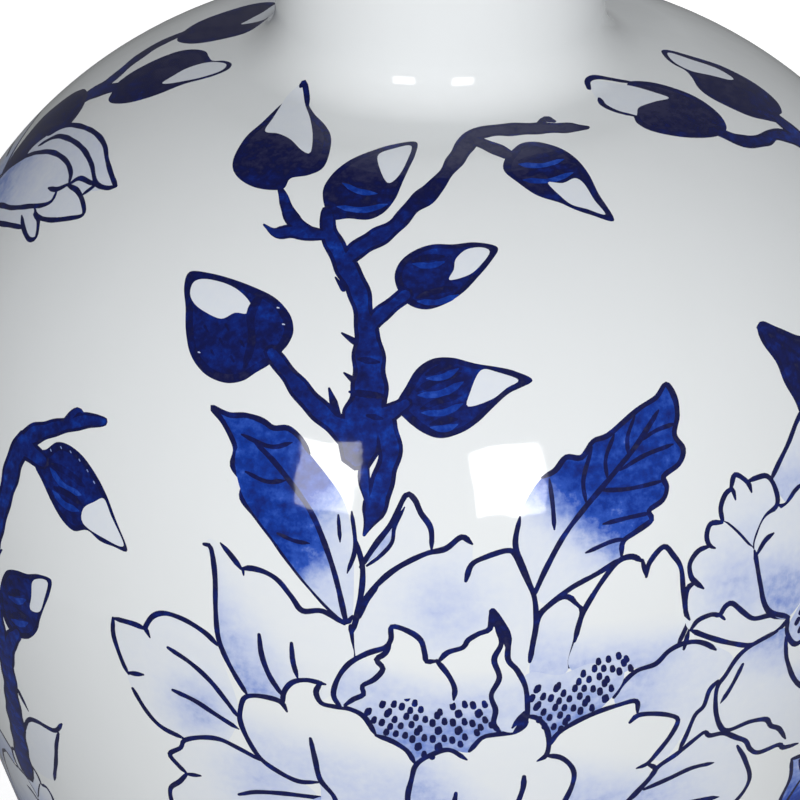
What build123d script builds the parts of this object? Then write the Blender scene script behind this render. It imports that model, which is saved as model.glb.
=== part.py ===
"""Porcelain plum vase, built the way a potter builds one: thrown sections luted with slip, then glazed.

Millimetres, +Z up. The origin is the centre of the resting plane under the foot ring.
Every piece is a ring about Z, so each profile is drawn once as radius (x) against height (z).
"""

import os
from math import cos, radians, sin, tan

from build123d import *

# Driving dimensions
HEIGHT = 320.0  # resting plane to the crest of the lip
WIDEST_R = 125.0  # glazed radius at the shoulder's widest ring
WIDEST_Z = 170.0  # height of that ring, where the two body halves are luted
NECK_R = 38.5  # glazed outside radius of the straight neck
THROAT_R = 33.0  # glazed inside radius of the straight neck
FOOT_R = 75.5  # glazed outside radius of the foot
RECESS_R = 61.5  # glazed inside radius of the foot ring
WALL = NECK_R - THROAT_R  # finished wall, both glazes included
GLAZE = 0.5  # thickness of one glaze coat
SLIP = 1.0  # thickness of a luted seam
SCARF = 1.0  # how far a seam climbs from inside to outside

# Lower body: one sweep from the foot out to the widest ring
BODY_Z = 10.0  # height where the body leaves the foot
FLARE_ANGLE = radians(22.5)  # lean of the wall just above the foot
FLARE_REACH = 46.0  # how far that lean carries into the sweep
BELLY_REACH = 44.0  # how far the wall stays upright below the widest ring

# Shoulder: one sweep from the widest ring in to the flat of the shoulder
SHOULDER_R = 60.0
SHOULDER_Z = 266.5
SHOULDER_SLOPE = radians(10.0)  # fall of the shoulder beside the neck
SHOULDER_REACH = 12.4
UPPER_REACH = 70.0  # how far the wall stays upright above the widest ring
NECK_FILLET = 11.0  # hollow between shoulder and neck

# Lip: a hollow flare that ends in a rolled bead
FLARE_R = 9.0
FLARE_TURN = radians(60.0)
BEAD_R = 4.0
LIP_BELL = 13.0  # depth of the funnel inside the lip

# Floor and foot
FLOOR_Z = 16.0  # glazed floor inside
FLAT_R = 58.0  # radius of the flat part of that floor
HEEL_START = 0.12  # share of the lower sweep, from the foot, that the rounded heel inside takes
HEEL_REACH = 8.0
BASE_EDGE_R = 62.0  # seam between the floor disc and the wall
GLAZE_LINE_Z = 3.0  # the coat stops here and leaves the foot bare
RECESS_LINE_Z = 4.0
FOOT_CHAMFER = 1.2

neck_hollow_r = NECK_R + NECK_FILLET
hollow_edge_r = NECK_R + NECK_FILLET * (1 - sin(SHOULDER_SLOPE))
hollow_edge_z = SHOULDER_Z + (SHOULDER_R - hollow_edge_r) * tan(SHOULDER_SLOPE)
neck_z = hollow_edge_z + NECK_FILLET * cos(SHOULDER_SLOPE)
bead_r = NECK_R + FLARE_R * (1 - cos(FLARE_TURN)) - BEAD_R * cos(FLARE_TURN)
bead_z = HEIGHT - BEAD_R
lip_z = bead_z - (FLARE_R + BEAD_R) * sin(FLARE_TURN)


def lower_sweep(depth):
    """Control points from the foot up to the widest ring, this far below the glaze surface."""
    foot = (FOOT_R - depth, BODY_Z)
    lean = (foot[0] + FLARE_REACH * sin(FLARE_ANGLE), foot[1] + FLARE_REACH * cos(FLARE_ANGLE))
    widest = WIDEST_R - depth
    return foot, lean, (widest, WIDEST_Z - BELLY_REACH), (widest, WIDEST_Z)


def above_heel(points):
    """Control points of a sweep without the stretch below the heel."""
    first, second, third, last = (Vector(*point) for point in points)
    side = first + (second - first) * HEEL_START
    middle = second + (third - second) * HEEL_START
    upper = third + (last - third) * HEEL_START
    side_middle = side + (middle - side) * HEEL_START
    middle_upper = middle + (upper - middle) * HEEL_START
    return side_middle + (middle_upper - side_middle) * HEEL_START, middle_upper, upper, last


def draw_shoulder(depth):
    """Widest ring to the top of the hollow beside the neck, this far below the glaze surface."""
    fall_r = depth * sin(SHOULDER_SLOPE)
    fall_z = depth * cos(SHOULDER_SLOPE)
    flat = (SHOULDER_R - fall_r, SHOULDER_Z - fall_z)
    reach = SHOULDER_REACH
    Bezier(
        (WIDEST_R - depth, WIDEST_Z),
        (WIDEST_R - depth, WIDEST_Z + UPPER_REACH),
        (flat[0] + reach * cos(SHOULDER_SLOPE), flat[1] - reach * sin(SHOULDER_SLOPE)),
        flat,
    )
    Line(flat, (hollow_edge_r - fall_r, hollow_edge_z - fall_z))
    middle = radians(135) - SHOULDER_SLOPE / 2
    hollow = NECK_FILLET + depth
    ThreePointArc(
        (hollow_edge_r - fall_r, hollow_edge_z - fall_z),
        (neck_hollow_r + hollow * cos(middle), neck_z - hollow * sin(middle)),
        (NECK_R - depth, neck_z),
    )


def draw_outside(depth):
    """Outer line of the wall from the foot up to the lip's crest, this far below the glaze surface."""
    Bezier(*lower_sweep(depth))
    draw_shoulder(depth)
    Line((NECK_R - depth, neck_z), (NECK_R - depth, lip_z))
    flare = FLARE_R + depth
    bead = BEAD_R - depth
    centre_r = NECK_R + FLARE_R
    flare_end = (centre_r - flare * cos(FLARE_TURN), lip_z + flare * sin(FLARE_TURN))
    half_turn = FLARE_TURN / 2
    ThreePointArc(
        (NECK_R - depth, lip_z),
        (centre_r - flare * cos(half_turn), lip_z + flare * sin(half_turn)),
        flare_end,
    )
    ThreePointArc(flare_end, (bead_r + bead, bead_z), (bead_r, bead_z + bead))


def draw_inside(depth):
    """Inner line of the wall from the lip's crest down to the axis, this far behind the glaze surface."""
    throat = THROAT_R + depth
    bell = HEIGHT - LIP_BELL
    Bezier(
        (bead_r, HEIGHT - depth),
        (throat + 3.0, HEIGHT - depth),
        (throat, HEIGHT - 4.0),
        (throat, bell),
    )
    Line((throat, bell), (throat, neck_z))
    draw_shoulder(WALL - depth)
    sweep = above_heel(lower_sweep(WALL - depth))
    Bezier(*sweep)
    heel, lean = sweep[0], (sweep[0] - sweep[1]).normalized()
    floor_z = FLOOR_Z - depth
    Bezier(heel, heel + lean * HEEL_REACH, (FLAT_R + HEEL_REACH, floor_z), (FLAT_R, floor_z))
    Line((FLAT_R, floor_z), (0, floor_z))


def draw_clay():
    """The bare clay wall and floor above the foot, in one outline, before it is cut into sections."""
    draw_outside(GLAZE)
    draw_inside(GLAZE)
    Polyline((0, FLOOR_Z - GLAZE), (0, BODY_Z), (FOOT_R - GLAZE, BODY_Z))


def seam(height, inner_r, outer_r):
    """Lower edge of a seam through the wall: it climbs from the inside to the outside."""
    return (inner_r, height - SCARF), (outer_r, height + SCARF)


def raised(points):
    """The upper edge of the same seam."""
    return [(r, z + SLIP) for r, z in points]


waist_seam = seam(WIDEST_Z - SLIP / 2, WIDEST_R - 2 * WALL, WIDEST_R + WALL)
neck_seam = seam(neck_z + 3.0, THROAT_R - WALL, NECK_R + WALL)
lip_seam = seam(lip_z - 2.0, THROAT_R - WALL, NECK_R + WALL)
floor_seam = [(BASE_EDGE_R, BODY_Z), (BASE_EDGE_R + 2 * SCARF, FLOOR_Z)]
floor_seam_out = [(r + SLIP, z) for r, z in floor_seam]
os.makedirs("parts", exist_ok=True)

# Floor disc, with a bevelled edge that the wall is luted to
with BuildPart() as base_disc:
    with BuildSketch(Plane.XZ):
        with BuildLine():
            draw_clay()
        make_face()
        with BuildLine():
            Polyline((0, BODY_Z), *floor_seam, (0, FLOOR_Z), close=True)
        make_face(mode=Mode.INTERSECT)
    revolve(axis=Axis.Z)
base_disc.part.label = "base_disc"
export_step(base_disc.part, "parts/base_disc.step")

# Slip between the floor disc and the wall
with BuildPart() as base_slip_joint:
    with BuildSketch(Plane.XZ):
        with BuildLine():
            draw_clay()
        make_face()
        with BuildLine():
            Polyline(*floor_seam, *reversed(floor_seam_out), close=True)
        make_face(mode=Mode.INTERSECT)
    revolve(axis=Axis.Z)
base_slip_joint.part.label = "base_slip_joint"
export_step(base_slip_joint.part, "parts/base_slip_joint.step")

# Lower half of the body, thrown as a bowl
with BuildPart() as lower_body:
    with BuildSketch(Plane.XZ):
        with BuildLine():
            draw_clay()
        make_face()
        with BuildLine():
            Polyline(*floor_seam_out, *waist_seam, (waist_seam[1][0], BODY_Z), close=True)
        make_face(mode=Mode.INTERSECT)
    revolve(axis=Axis.Z)
lower_body.part.label = "lower_body"
export_step(lower_body.part, "parts/lower_body.step")

# Slip ring at the widest ring, between the two halves of the body
with BuildPart() as waist_slip_joint:
    with BuildSketch(Plane.XZ):
        with BuildLine():
            draw_clay()
        make_face()
        with BuildLine():
            Polyline(*waist_seam, *reversed(raised(waist_seam)), close=True)
        make_face(mode=Mode.INTERSECT)
    revolve(axis=Axis.Z)
waist_slip_joint.part.label = "waist_slip_joint"
export_step(waist_slip_joint.part, "parts/waist_slip_joint.step")

# Upper half of the body, with the shoulder and the root of the neck
with BuildPart() as upper_body:
    with BuildSketch(Plane.XZ):
        with BuildLine():
            draw_clay()
        make_face()
        with BuildLine():
            Polyline(
                *raised(waist_seam),
                (waist_seam[1][0], neck_seam[1][1]),
                *reversed(neck_seam),
                close=True,
            )
        make_face(mode=Mode.INTERSECT)
    revolve(axis=Axis.Z)
upper_body.part.label = "upper_body"
export_step(upper_body.part, "parts/upper_body.step")

# Slip ring at the root of the neck
with BuildPart() as neck_slip_joint:
    with BuildSketch(Plane.XZ):
        with BuildLine():
            draw_clay()
        make_face()
        with BuildLine():
            Polyline(*neck_seam, *reversed(raised(neck_seam)), close=True)
        make_face(mode=Mode.INTERSECT)
    revolve(axis=Axis.Z)
neck_slip_joint.part.label = "neck_slip_joint"
export_step(neck_slip_joint.part, "parts/neck_slip_joint.step")

# Straight neck, thrown as a short tube
with BuildPart() as neck_collar:
    with BuildSketch(Plane.XZ):
        with BuildLine():
            draw_clay()
        make_face()
        with BuildLine():
            Polyline(*raised(neck_seam), *reversed(lip_seam), close=True)
        make_face(mode=Mode.INTERSECT)
    revolve(axis=Axis.Z)
neck_collar.part.label = "neck_collar"
export_step(neck_collar.part, "parts/neck_collar.step")

# Slip ring under the lip
with BuildPart() as lip_slip_joint:
    with BuildSketch(Plane.XZ):
        with BuildLine():
            draw_clay()
        make_face()
        with BuildLine():
            Polyline(*lip_seam, *reversed(raised(lip_seam)), close=True)
        make_face(mode=Mode.INTERSECT)
    revolve(axis=Axis.Z)
lip_slip_joint.part.label = "lip_slip_joint"
export_step(lip_slip_joint.part, "parts/lip_slip_joint.step")

# Everted mouth rim with its rolled edge
with BuildPart() as mouth_rim:
    with BuildSketch(Plane.XZ):
        with BuildLine():
            draw_clay()
        make_face()
        with BuildLine():
            Polyline(
                *raised(lip_seam),
                (lip_seam[1][0] + WALL, HEIGHT),
                (lip_seam[0][0], HEIGHT),
                close=True,
            )
        make_face(mode=Mode.INTERSECT)
    revolve(axis=Axis.Z)
mouth_rim.part.label = "mouth_rim"
export_step(mouth_rim.part, "parts/mouth_rim.step")

# Slip between the foot ring and the body
clay_foot_r = FOOT_R - GLAZE
clay_recess_r = RECESS_R + GLAZE
with BuildPart() as foot_slip_joint:
    with BuildSketch(Plane.XY.offset(BODY_Z - SLIP)):
        Circle(clay_foot_r)
        Circle(clay_recess_r, mode=Mode.SUBTRACT)
    extrude(amount=SLIP)
foot_slip_joint.part.label = "foot_slip_joint"
export_step(foot_slip_joint.part, "parts/foot_slip_joint.step")

# Foot ring, turned with bevelled edges and left bare where it rests
with BuildPart() as foot_ring:
    with BuildSketch(Plane.XY):
        Circle(clay_foot_r)
        Circle(clay_recess_r, mode=Mode.SUBTRACT)
    extrude(amount=BODY_Z - SLIP)
    chamfer(foot_ring.faces().sort_by(Axis.Z)[0].edges(), length=FOOT_CHAMFER)
foot_ring.part.label = "foot_ring"
export_step(foot_ring.part, "parts/foot_ring.step")

# Outer glaze coat, from the glaze line above the bare foot up to the lip's crest
with BuildPart() as outer_glaze:
    with BuildSketch(Plane.XZ):
        with BuildLine():
            draw_outside(0)
            Line((bead_r, HEIGHT), (bead_r, HEIGHT - GLAZE))
            draw_outside(GLAZE)
            Polyline(
                (FOOT_R - GLAZE, BODY_Z),
                (FOOT_R - GLAZE, GLAZE_LINE_Z),
                (FOOT_R, GLAZE_LINE_Z),
                (FOOT_R, BODY_Z),
            )
        make_face()
    revolve(axis=Axis.Z)
outer_glaze.part.label = "outer_glaze"
export_step(outer_glaze.part, "parts/outer_glaze.step")

# Inner glaze coat, from the lip's crest down over the floor
with BuildPart() as inner_glaze:
    with BuildSketch(Plane.XZ):
        with BuildLine():
            draw_inside(0)
            Line((0, FLOOR_Z), (0, FLOOR_Z - GLAZE))
            draw_inside(GLAZE)
            Line((bead_r, HEIGHT - GLAZE), (bead_r, HEIGHT))
        make_face()
    revolve(axis=Axis.Z)
inner_glaze.part.label = "inner_glaze"
export_step(inner_glaze.part, "parts/inner_glaze.step")

# Glaze inside the foot recess: a thin disc with a short skirt down the foot ring
with BuildPart() as base_glaze:
    with BuildSketch(Plane.XZ):
        with BuildLine():
            Polyline(
                (0, BODY_Z - GLAZE),
                (RECESS_R, BODY_Z - GLAZE),
                (RECESS_R, RECESS_LINE_Z),
                (clay_recess_r, RECESS_LINE_Z),
                (clay_recess_r, BODY_Z),
                (0, BODY_Z),
                close=True,
            )
        make_face()
    revolve(axis=Axis.Z)
base_glaze.part.label = "base_glaze"
export_step(base_glaze.part, "parts/base_glaze.step")
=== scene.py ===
"""Looks for the porcelain plum vase: painted glaze, clear glaze inside, bare foot, camera, light and floor.

The painting is laid out in millimetres on the unrolled glaze. Each motif has a meridian of its own: x runs
round the vase from it and y runs up the profile from the widest ring. Everything in Blender is in metres.
The outlines of the front motifs were read from the photo, unrolled onto this profile.
"""
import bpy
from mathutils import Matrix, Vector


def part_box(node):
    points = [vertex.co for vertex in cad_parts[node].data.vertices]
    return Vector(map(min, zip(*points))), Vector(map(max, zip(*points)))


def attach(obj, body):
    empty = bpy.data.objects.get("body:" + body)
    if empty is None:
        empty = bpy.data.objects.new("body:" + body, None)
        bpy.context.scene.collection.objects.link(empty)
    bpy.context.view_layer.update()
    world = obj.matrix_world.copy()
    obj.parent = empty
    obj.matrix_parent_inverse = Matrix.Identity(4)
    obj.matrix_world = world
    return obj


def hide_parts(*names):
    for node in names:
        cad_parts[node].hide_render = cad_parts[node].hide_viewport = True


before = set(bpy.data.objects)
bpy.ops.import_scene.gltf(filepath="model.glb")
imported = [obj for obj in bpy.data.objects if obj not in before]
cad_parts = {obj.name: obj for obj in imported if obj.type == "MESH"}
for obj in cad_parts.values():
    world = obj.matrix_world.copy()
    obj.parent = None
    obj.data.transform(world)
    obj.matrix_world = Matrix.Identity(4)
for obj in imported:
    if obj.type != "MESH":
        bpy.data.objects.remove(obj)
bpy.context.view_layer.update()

from copy import copy
from math import cos, pi, radians, sin, tan

import bpy
import numpy as np
from mathutils import Vector
from mathutils.geometry import delaunay_2d_cdt

MM = 0.001

# ---------------------------------------------------------------- profile, in millimetres
low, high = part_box("outer_glaze")
HEIGHT = high.z / MM
GLAZE_LINE_Z = low.z / MM
WIDEST_R = 125.0
WIDEST_Z = 170.0
NECK_R = 38.5
FOOT_R = 75.5
BODY_Z = 10.0
FLARE_ANGLE = radians(22.5)
FLARE_REACH = 46.0
BELLY_REACH = 44.0
SHOULDER = (60.0, 266.5)
SHOULDER_SLOPE = radians(10.0)
SHOULDER_REACH = 12.4
UPPER_REACH = 70.0
NECK_FILLET = 11.0
FLARE_R = 9.0
FLARE_TURN = radians(60.0)
BEAD_R = 4.0
SWEEP_SAMPLES = 300
HOLLOW_SAMPLES = 60
FLARE_SAMPLES = 40
RIM_SAMPLES = 60


def bezier(points, count):
    """Points along a cubic sweep."""
    a, b, c, d = (np.array(p, float) for p in points)
    t = np.linspace(0, 1, count)[:, None]
    return (1 - t) ** 3 * a + 3 * (1 - t) ** 2 * t * b + 3 * (1 - t) * t * t * c + t ** 3 * d


def arc(centre, radius, start, end, count):
    """Points along a circular arc, angles in radians."""
    angle = np.linspace(start, end, count)
    return np.stack([centre[0] + radius * np.cos(angle), centre[1] + radius * np.sin(angle)], 1)


def outside_profile():
    """Radius and height from the glaze line up to the lip's crest, and the index of the widest ring."""
    slope = SHOULDER_SLOPE
    foot_side = np.array([(FOOT_R, GLAZE_LINE_Z), (FOOT_R, BODY_Z)])
    lean = (FOOT_R + FLARE_REACH * sin(FLARE_ANGLE), BODY_Z + FLARE_REACH * cos(FLARE_ANGLE))
    widest = (WIDEST_R, WIDEST_Z)
    lower = bezier([foot_side[1], lean, (WIDEST_R, WIDEST_Z - BELLY_REACH), widest], SWEEP_SAMPLES)
    flat = (SHOULDER[0] + SHOULDER_REACH * cos(slope), SHOULDER[1] - SHOULDER_REACH * sin(slope))
    upper = bezier([widest, (WIDEST_R, WIDEST_Z + UPPER_REACH), flat, SHOULDER], SWEEP_SAMPLES)
    edge_r = NECK_R + NECK_FILLET * (1 - sin(slope))
    edge_z = SHOULDER[1] + (SHOULDER[0] - edge_r) * tan(slope)
    hollow_centre = (NECK_R + NECK_FILLET, edge_z + NECK_FILLET * cos(slope))
    hollow = arc(hollow_centre, NECK_FILLET, -pi / 2 - slope, -pi, HOLLOW_SAMPLES)
    bead = (NECK_R + FLARE_R * (1 - cos(FLARE_TURN)) - BEAD_R * cos(FLARE_TURN), HEIGHT - BEAD_R)
    lip_z = bead[1] - (FLARE_R + BEAD_R) * sin(FLARE_TURN)
    flare = arc((NECK_R + FLARE_R, lip_z), FLARE_R, pi, pi - FLARE_TURN, FLARE_SAMPLES)
    rim = arc(bead, BEAD_R, -FLARE_TURN, pi / 2, RIM_SAMPLES)
    widest_index = len(foot_side) + SWEEP_SAMPLES - 2
    return np.vstack([foot_side, lower[1:], upper[1:], hollow, flare, rim[1:]]), widest_index


PROFILE, WIDEST_INDEX = outside_profile()
lengths = np.r_[0, np.cumsum(np.hypot(*np.diff(PROFILE, axis=0).T))]
CLIMB = lengths - lengths[WIDEST_INDEX]  # distance up the profile, zero at the widest ring
HALF_GIRTH = pi * WIDEST_R
slopes = np.gradient(PROFILE, CLIMB, axis=0)


def radius_at(climb):
    """The glaze's radius at a distance up the profile."""
    return np.interp(climb, CLIMB, PROFILE[:, 0])


def on_surface(girth, climb, depth=0.0):
    """Places and outward normals, in metres, for points of the unrolled glaze."""
    angle = girth / WIDEST_R
    slope_r = np.interp(climb, CLIMB, slopes[:, 0])
    slope_z = np.interp(climb, CLIMB, slopes[:, 1])
    size = np.hypot(slope_r, slope_z)
    out_r, out_z = slope_z / size, -slope_r / size
    radius = radius_at(climb) - depth * out_r
    height = np.interp(climb, CLIMB, PROFILE[:, 1]) - depth * out_z
    place = np.stack([radius * np.sin(angle), -radius * np.cos(angle), height], 1) * MM
    normal = np.stack([out_r * np.sin(angle), -out_r * np.cos(angle), out_z], 1)
    return place, normal


# ---------------------------------------------------------------- brushwork
layers = []
wood_middles = []
INK = 0.95  # strengths of cobalt
# the strongest cobalt, whose ramp colour is slate grey: heavy paint with a painted reflection of the room on
# the glazed shoulder
HEAVY_SHEEN = 1.24
BUD = 0.8
WOOD = 0.72
LEAF = 0.57
PETAL = 0.02
BUD_TIP = 0.05
SHEEN_FROM = 98.0  # climb where the paint starts to be laid on heavier and greyed to slate by a painted reflection, and over how far it gets there
SHEEN_OVER = 32.0
LINE = 1.3  # widths of strokes
STREAK_PALE = 1.5
STREAK_DARK = 1.6
WOOD_CORE = 0.62  # share of a woody stroke that is its lighter middle, at least
WOOD_EDGES = 2.0  # width of its two dark edges together, at most
WOBBLE = 0.06  # how unevenly a brush stroke swells and thins, quickly and slowly
WOOD_WOBBLE = 0.12
WOBBLE_QUICK = 0.9
WOBBLE_SLOW = 0.37
SEPAL_SHARE = 0.84  # size of a bud's lighter middle against its outline
STREAK_BOW = 0.1
SAMPLE_STEP = 0.9  # spacing of the samples on a smooth line
OUTLINE_SLACK = 0.02  # how far a sample may lie off a straight run and still be left out
OUTLINE_STEP = 2.4  # longest run between samples that thinning makes


class Pen:
    """A motif's own place on the glaze: a meridian, a shift, a turn, a size and perhaps a mirror."""

    def __init__(self, azimuth, x=0.0, y=0.0, turn=0.0, size=1.0, mirror=False):
        self.azimuth = radians(azimuth)
        self.shift = np.array([x, y], float)
        flip = -1.0 if mirror else 1.0
        c, s = cos(radians(turn)) * size, sin(radians(turn)) * size
        self.matrix = np.array([[c * flip, -s], [s * flip, c]])

    def to_sheet(self, points):
        """Motif points to distance round the widest ring and climb up the profile."""
        placed = np.asarray(points, float) @ self.matrix.T + self.shift
        girth = (self.azimuth + placed[:, 0] / radius_at(placed[:, 1])) * WIDEST_R
        return np.stack([girth, placed[:, 1]], 1)

    def from_sheet(self, points, turns):
        """The way back, for a copy of the motif shifted by whole turns round the vase."""
        angle = points[:, 0] / WIDEST_R - self.azimuth - turns * 2 * pi
        placed = np.stack([angle * radius_at(points[:, 1]), points[:, 1]], 1)
        return (placed - self.shift) @ np.linalg.inv(self.matrix).T

    def facing(self, x, y):
        """A mirrored copy of this pen, set off by x and y in the motif's own millimetres."""
        other = copy(self)
        other.shift = self.shift + self.matrix @ np.array([x, y])
        other.matrix = self.matrix @ np.diag([-1.0, 1.0])
        return other


def curve(points, closed=False):
    """A smooth line through the points, as evenly spaced samples."""
    p = np.array(points, float)
    if len(p) == 2 and not closed:
        p = np.array([p[0], (p[0] + p[1]) / 2, p[1]])
    if closed:
        p = np.vstack([p[-1], p, p[0], p[1]])
    else:
        p = np.vstack([2 * p[0] - p[1], p, 2 * p[-1] - p[-2]])
    out = []
    for i in range(1, len(p) - 2):
        a, b, c, d = p[i - 1 : i + 3]
        count = max(2, int(np.hypot(*(c - b)[:2]) / SAMPLE_STEP) + 1)
        t = np.linspace(0, 1, count, endpoint=False)[:, None]
        out.append(0.5 * (2 * b + (c - a) * t + (2 * a - 5 * b + 4 * c - d) * t ** 2
                          + (3 * b - a - 3 * c + d) * t ** 3))
    if not closed:
        out.append(p[-2][None, :])
    return np.vstack(out)


def thinned(outline):
    """The outline without the samples that lie on an almost straight run."""
    for _ in range(2):
        before, after = np.roll(outline, 1, 0), np.roll(outline, -1, 0)
        run, rise = after - before, outline - before
        length = np.maximum(np.hypot(run[:, 0], run[:, 1]), 1e-9)
        off = np.abs(run[:, 0] * rise[:, 1] - run[:, 1] * rise[:, 0]) / length
        even = np.arange(len(outline)) % 2 == 0
        outline = outline[even | (off > OUTLINE_SLACK) | (length > OUTLINE_STEP)]
    return outline


def lay(pen, outline, value):
    """Adds one painted area. value is a number, or a function of motif points."""
    sheet = thinned(pen.to_sheet(outline))
    for turns in (-1, 0, 1):
        moved = sheet + [turns * 2 * HALF_GIRTH, 0]
        if moved[:, 0].max() > -HALF_GIRTH and moved[:, 0].min() < HALF_GIRTH:
            layers.append({"outline": moved, "pen": pen, "turns": turns, "value": value})


def area(pen, points, value):
    """A filled area inside a smooth closed outline."""
    lay(pen, curve(points, closed=True), value)


def fade(start, end, from_value, to_value):
    """Cobalt that thins evenly from start to end."""
    a, b = np.array(start, float), np.array(end, float)

    def value(points):
        share = np.clip((points - a) @ (b - a) / ((b - a) @ (b - a)), 0, 1)
        return from_value + (to_value - from_value) * share * share * (3 - 2 * share)

    return value


def spot(centre, reach, inner, outer):
    """Cobalt that pools at a centre and thins out over reach."""
    middle = np.array(centre, float)

    def value(points):
        share = np.clip(np.hypot(*(points - middle).T) / reach, 0, 1)
        return inner + (outer - inner) * share * share * (3 - 2 * share)

    return value


def deepen_with_sheen(value):
    """Cobalt that is laid on heavier the higher it is on the shoulder, and greyed to slate there: a painted
    reflection of the room on the glaze.
    """
    def deepened_with_sheen(points):
        return value + (HEAVY_SHEEN - value) * np.clip((points[:, 1] - SHEEN_FROM) / SHEEN_OVER, 0, 1)

    return deepened_with_sheen


def sweep(pen, points, value=INK, start=0.6, end=0.4, wobble=WOBBLE):
    """A brush stroke through points (x, y, width), with rounded ends that narrow by start and end."""
    line = curve(points)
    way = np.gradient(line[:, :2], axis=0)
    way /= np.hypot(*way.T)[:, None] + 1e-9
    run = np.r_[0, np.cumsum(np.hypot(*np.diff(line[:, :2], axis=0).T))]
    tip = np.clip(1.2 * line[:, 2].max(), 1.5, 5.0)
    width = line[:, 2] * (start + (1 - start) * np.clip(run / tip, 0, 1))
    width = width * (end + (1 - end) * np.clip((run[-1] - run) / tip, 0, 1))
    quick, slow = np.sin(run * WOBBLE_QUICK + line[0, 0]), np.sin(run * WOBBLE_SLOW + line[0, 1])
    width = width * (1 + wobble * quick + wobble * slow)
    side = np.stack([-way[:, 1], way[:, 0]], 1) * width[:, None] / 2
    middle = line[:, :2]
    caps = []
    for at, ahead, across in ((-1, way[-1], side[-1]), (0, -way[0], -side[0])):
        reach = np.hypot(*across)
        turns = (pi / 4, pi / 2, 3 * pi / 4)
        caps.append([middle[at] + across * cos(a) + ahead * reach * sin(a) for a in turns])
    outline = np.vstack([middle + side, caps[0], (middle - side)[::-1], caps[1]])
    lay(pen, outline, value)


def wood(pen, points, start=0.6, end=0.4):
    """A woody stroke: its dark edges now, its lighter middle once the wood that meets it is down too."""
    sweep(pen, points, INK, start, end)
    middle = [(x, y, max(WOOD_CORE * width, width - WOOD_EDGES)) for x, y, width in points]
    wood_middles.append((pen, middle, start, end))


def finish_wood():
    """Lays the lighter middles of all the wood so far."""
    for pen, points, start, end in wood_middles:
        # the wood's middles grow heavier and greyer up the shoulder, a painted reflection on the glaze
        sweep(pen, points, deepen_with_sheen(WOOD), start, end, WOOD_WOBBLE)
    wood_middles.clear()


def ink(pen, points, width=LINE, value=INK, start=0.6, end=0.4):
    """An outline or vein: a brush line of even width."""
    sweep(pen, [(x, y, width) for x, y in points], value, start, end)


# ---------------------------------------------------------------- motifs, each in its own millimetres
def bud(pen, outline, petal_tip, streaks=()):
    """A closed flower bud: dark sepals with a pale tip of petal, and streaks where the brush ran dry."""
    area(pen, outline, INK)
    middle = np.mean(outline, axis=0)
    inner = middle + (np.array(outline) - middle) * SEPAL_SHARE
    # the bud's fill grows heavier and greyer up the shoulder, a painted reflection on the glaze
    area(pen, inner, deepen_with_sheen(BUD))
    for start, end in streaks:
        start, end = np.array(start, float), np.array(end, float)
        bow = np.array([start[1] - end[1], end[0] - start[0]]) * STREAK_BOW
        ink(pen, [start - bow, (start + end) / 2 - 2 * bow, end - bow], STREAK_PALE, LEAF, 0.2, 0.2)
        ink(pen, [start, (start + end) / 2 + bow, end + bow], STREAK_DARK, INK, 0.3, 0.3)
    area(pen, petal_tip, BUD_TIP)


BUD_TALL = (
    [(-34.8, 143.3), (-32.8, 139), (-30.6, 136), (-27.5, 133), (-25.6, 129), (-25.6, 123), (-27, 117.5),
     (-30.5, 114.5), (-35, 112.5), (-37, 109), (-44, 107.8), (-49.5, 109.4), (-51.2, 113), (-49, 120),
     (-45.5, 126), (-43, 131), (-41, 135), (-37.6, 140.6)],
    [(-36.4, 143), (-35.2, 142), (-33.8, 138.6), (-31.6, 134), (-30.3, 128), (-30.4, 121.6), (-32.6, 121.6),
     (-36, 124.4), (-39.5, 125.2), (-43.4, 124.6), (-42, 130), (-40.8, 134.6), (-39.6, 139)],
)
BUD_SLIM = (
    [(-25, 103.5), (-26.9, 110), (-25, 115.5), (-21, 120.8), (-16, 125.2), (-11, 128.8), (-5.4, 130.6),
     (-5.6, 125), (-7, 120), (-8.4, 115.5), (-10, 110.5), (-12.5, 106.5), (-16, 104.2), (-20.5, 104)],
    [(-6.5, 128.8), (-10.6, 127.2), (-14, 124.2), (-13.6, 119.4), (-11.8, 115.2), (-9.6, 117), (-7.6, 122)],
    [((-23.5, 108), (-12, 110)), ((-22, 114.5), (-14, 112.5))],
)
BUD_DROOP = (
    [(14.6, 122), (16.4, 125.6), (19, 128.2), (23, 127.6), (28, 124), (32, 119.4), (35, 114), (37.2, 108),
     (40.8, 100.2), (35, 102.8), (31, 105), (27.5, 107.4), (22, 110.4), (17.4, 115), (14.6, 118.6)],
    [(24.8, 113.6), (28.4, 112.8), (31.4, 113.6), (33.6, 111.6), (36, 106.6), (38.6, 102.2), (34, 104.6),
     (30.4, 106.4), (27.6, 109.4)],
    [((18, 121.5), (29, 121)), ((19, 116.5), (31, 116.5))],
)
BUD_SMALL = (
    [(-9.4, 87), (-10, 90.5), (-8.6, 94), (-5.5, 96.8), (-1.5, 98.4), (3, 98.4), (8, 98.8), (13, 97.2),
     (11.4, 93.6), (8.6, 90), (5.4, 86.4), (1.4, 83.6), (-3, 82.2), (-7, 83.4)],
    [(3.6, 94.6), (6, 97), (9.4, 97.4), (11.2, 96.2), (9.4, 93.2), (6.6, 90.6), (2.2, 89.4), (3.2, 92)],
    [((-6, 94), (1, 94.6)), ((-5, 85), (4, 86.6))],
)
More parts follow.
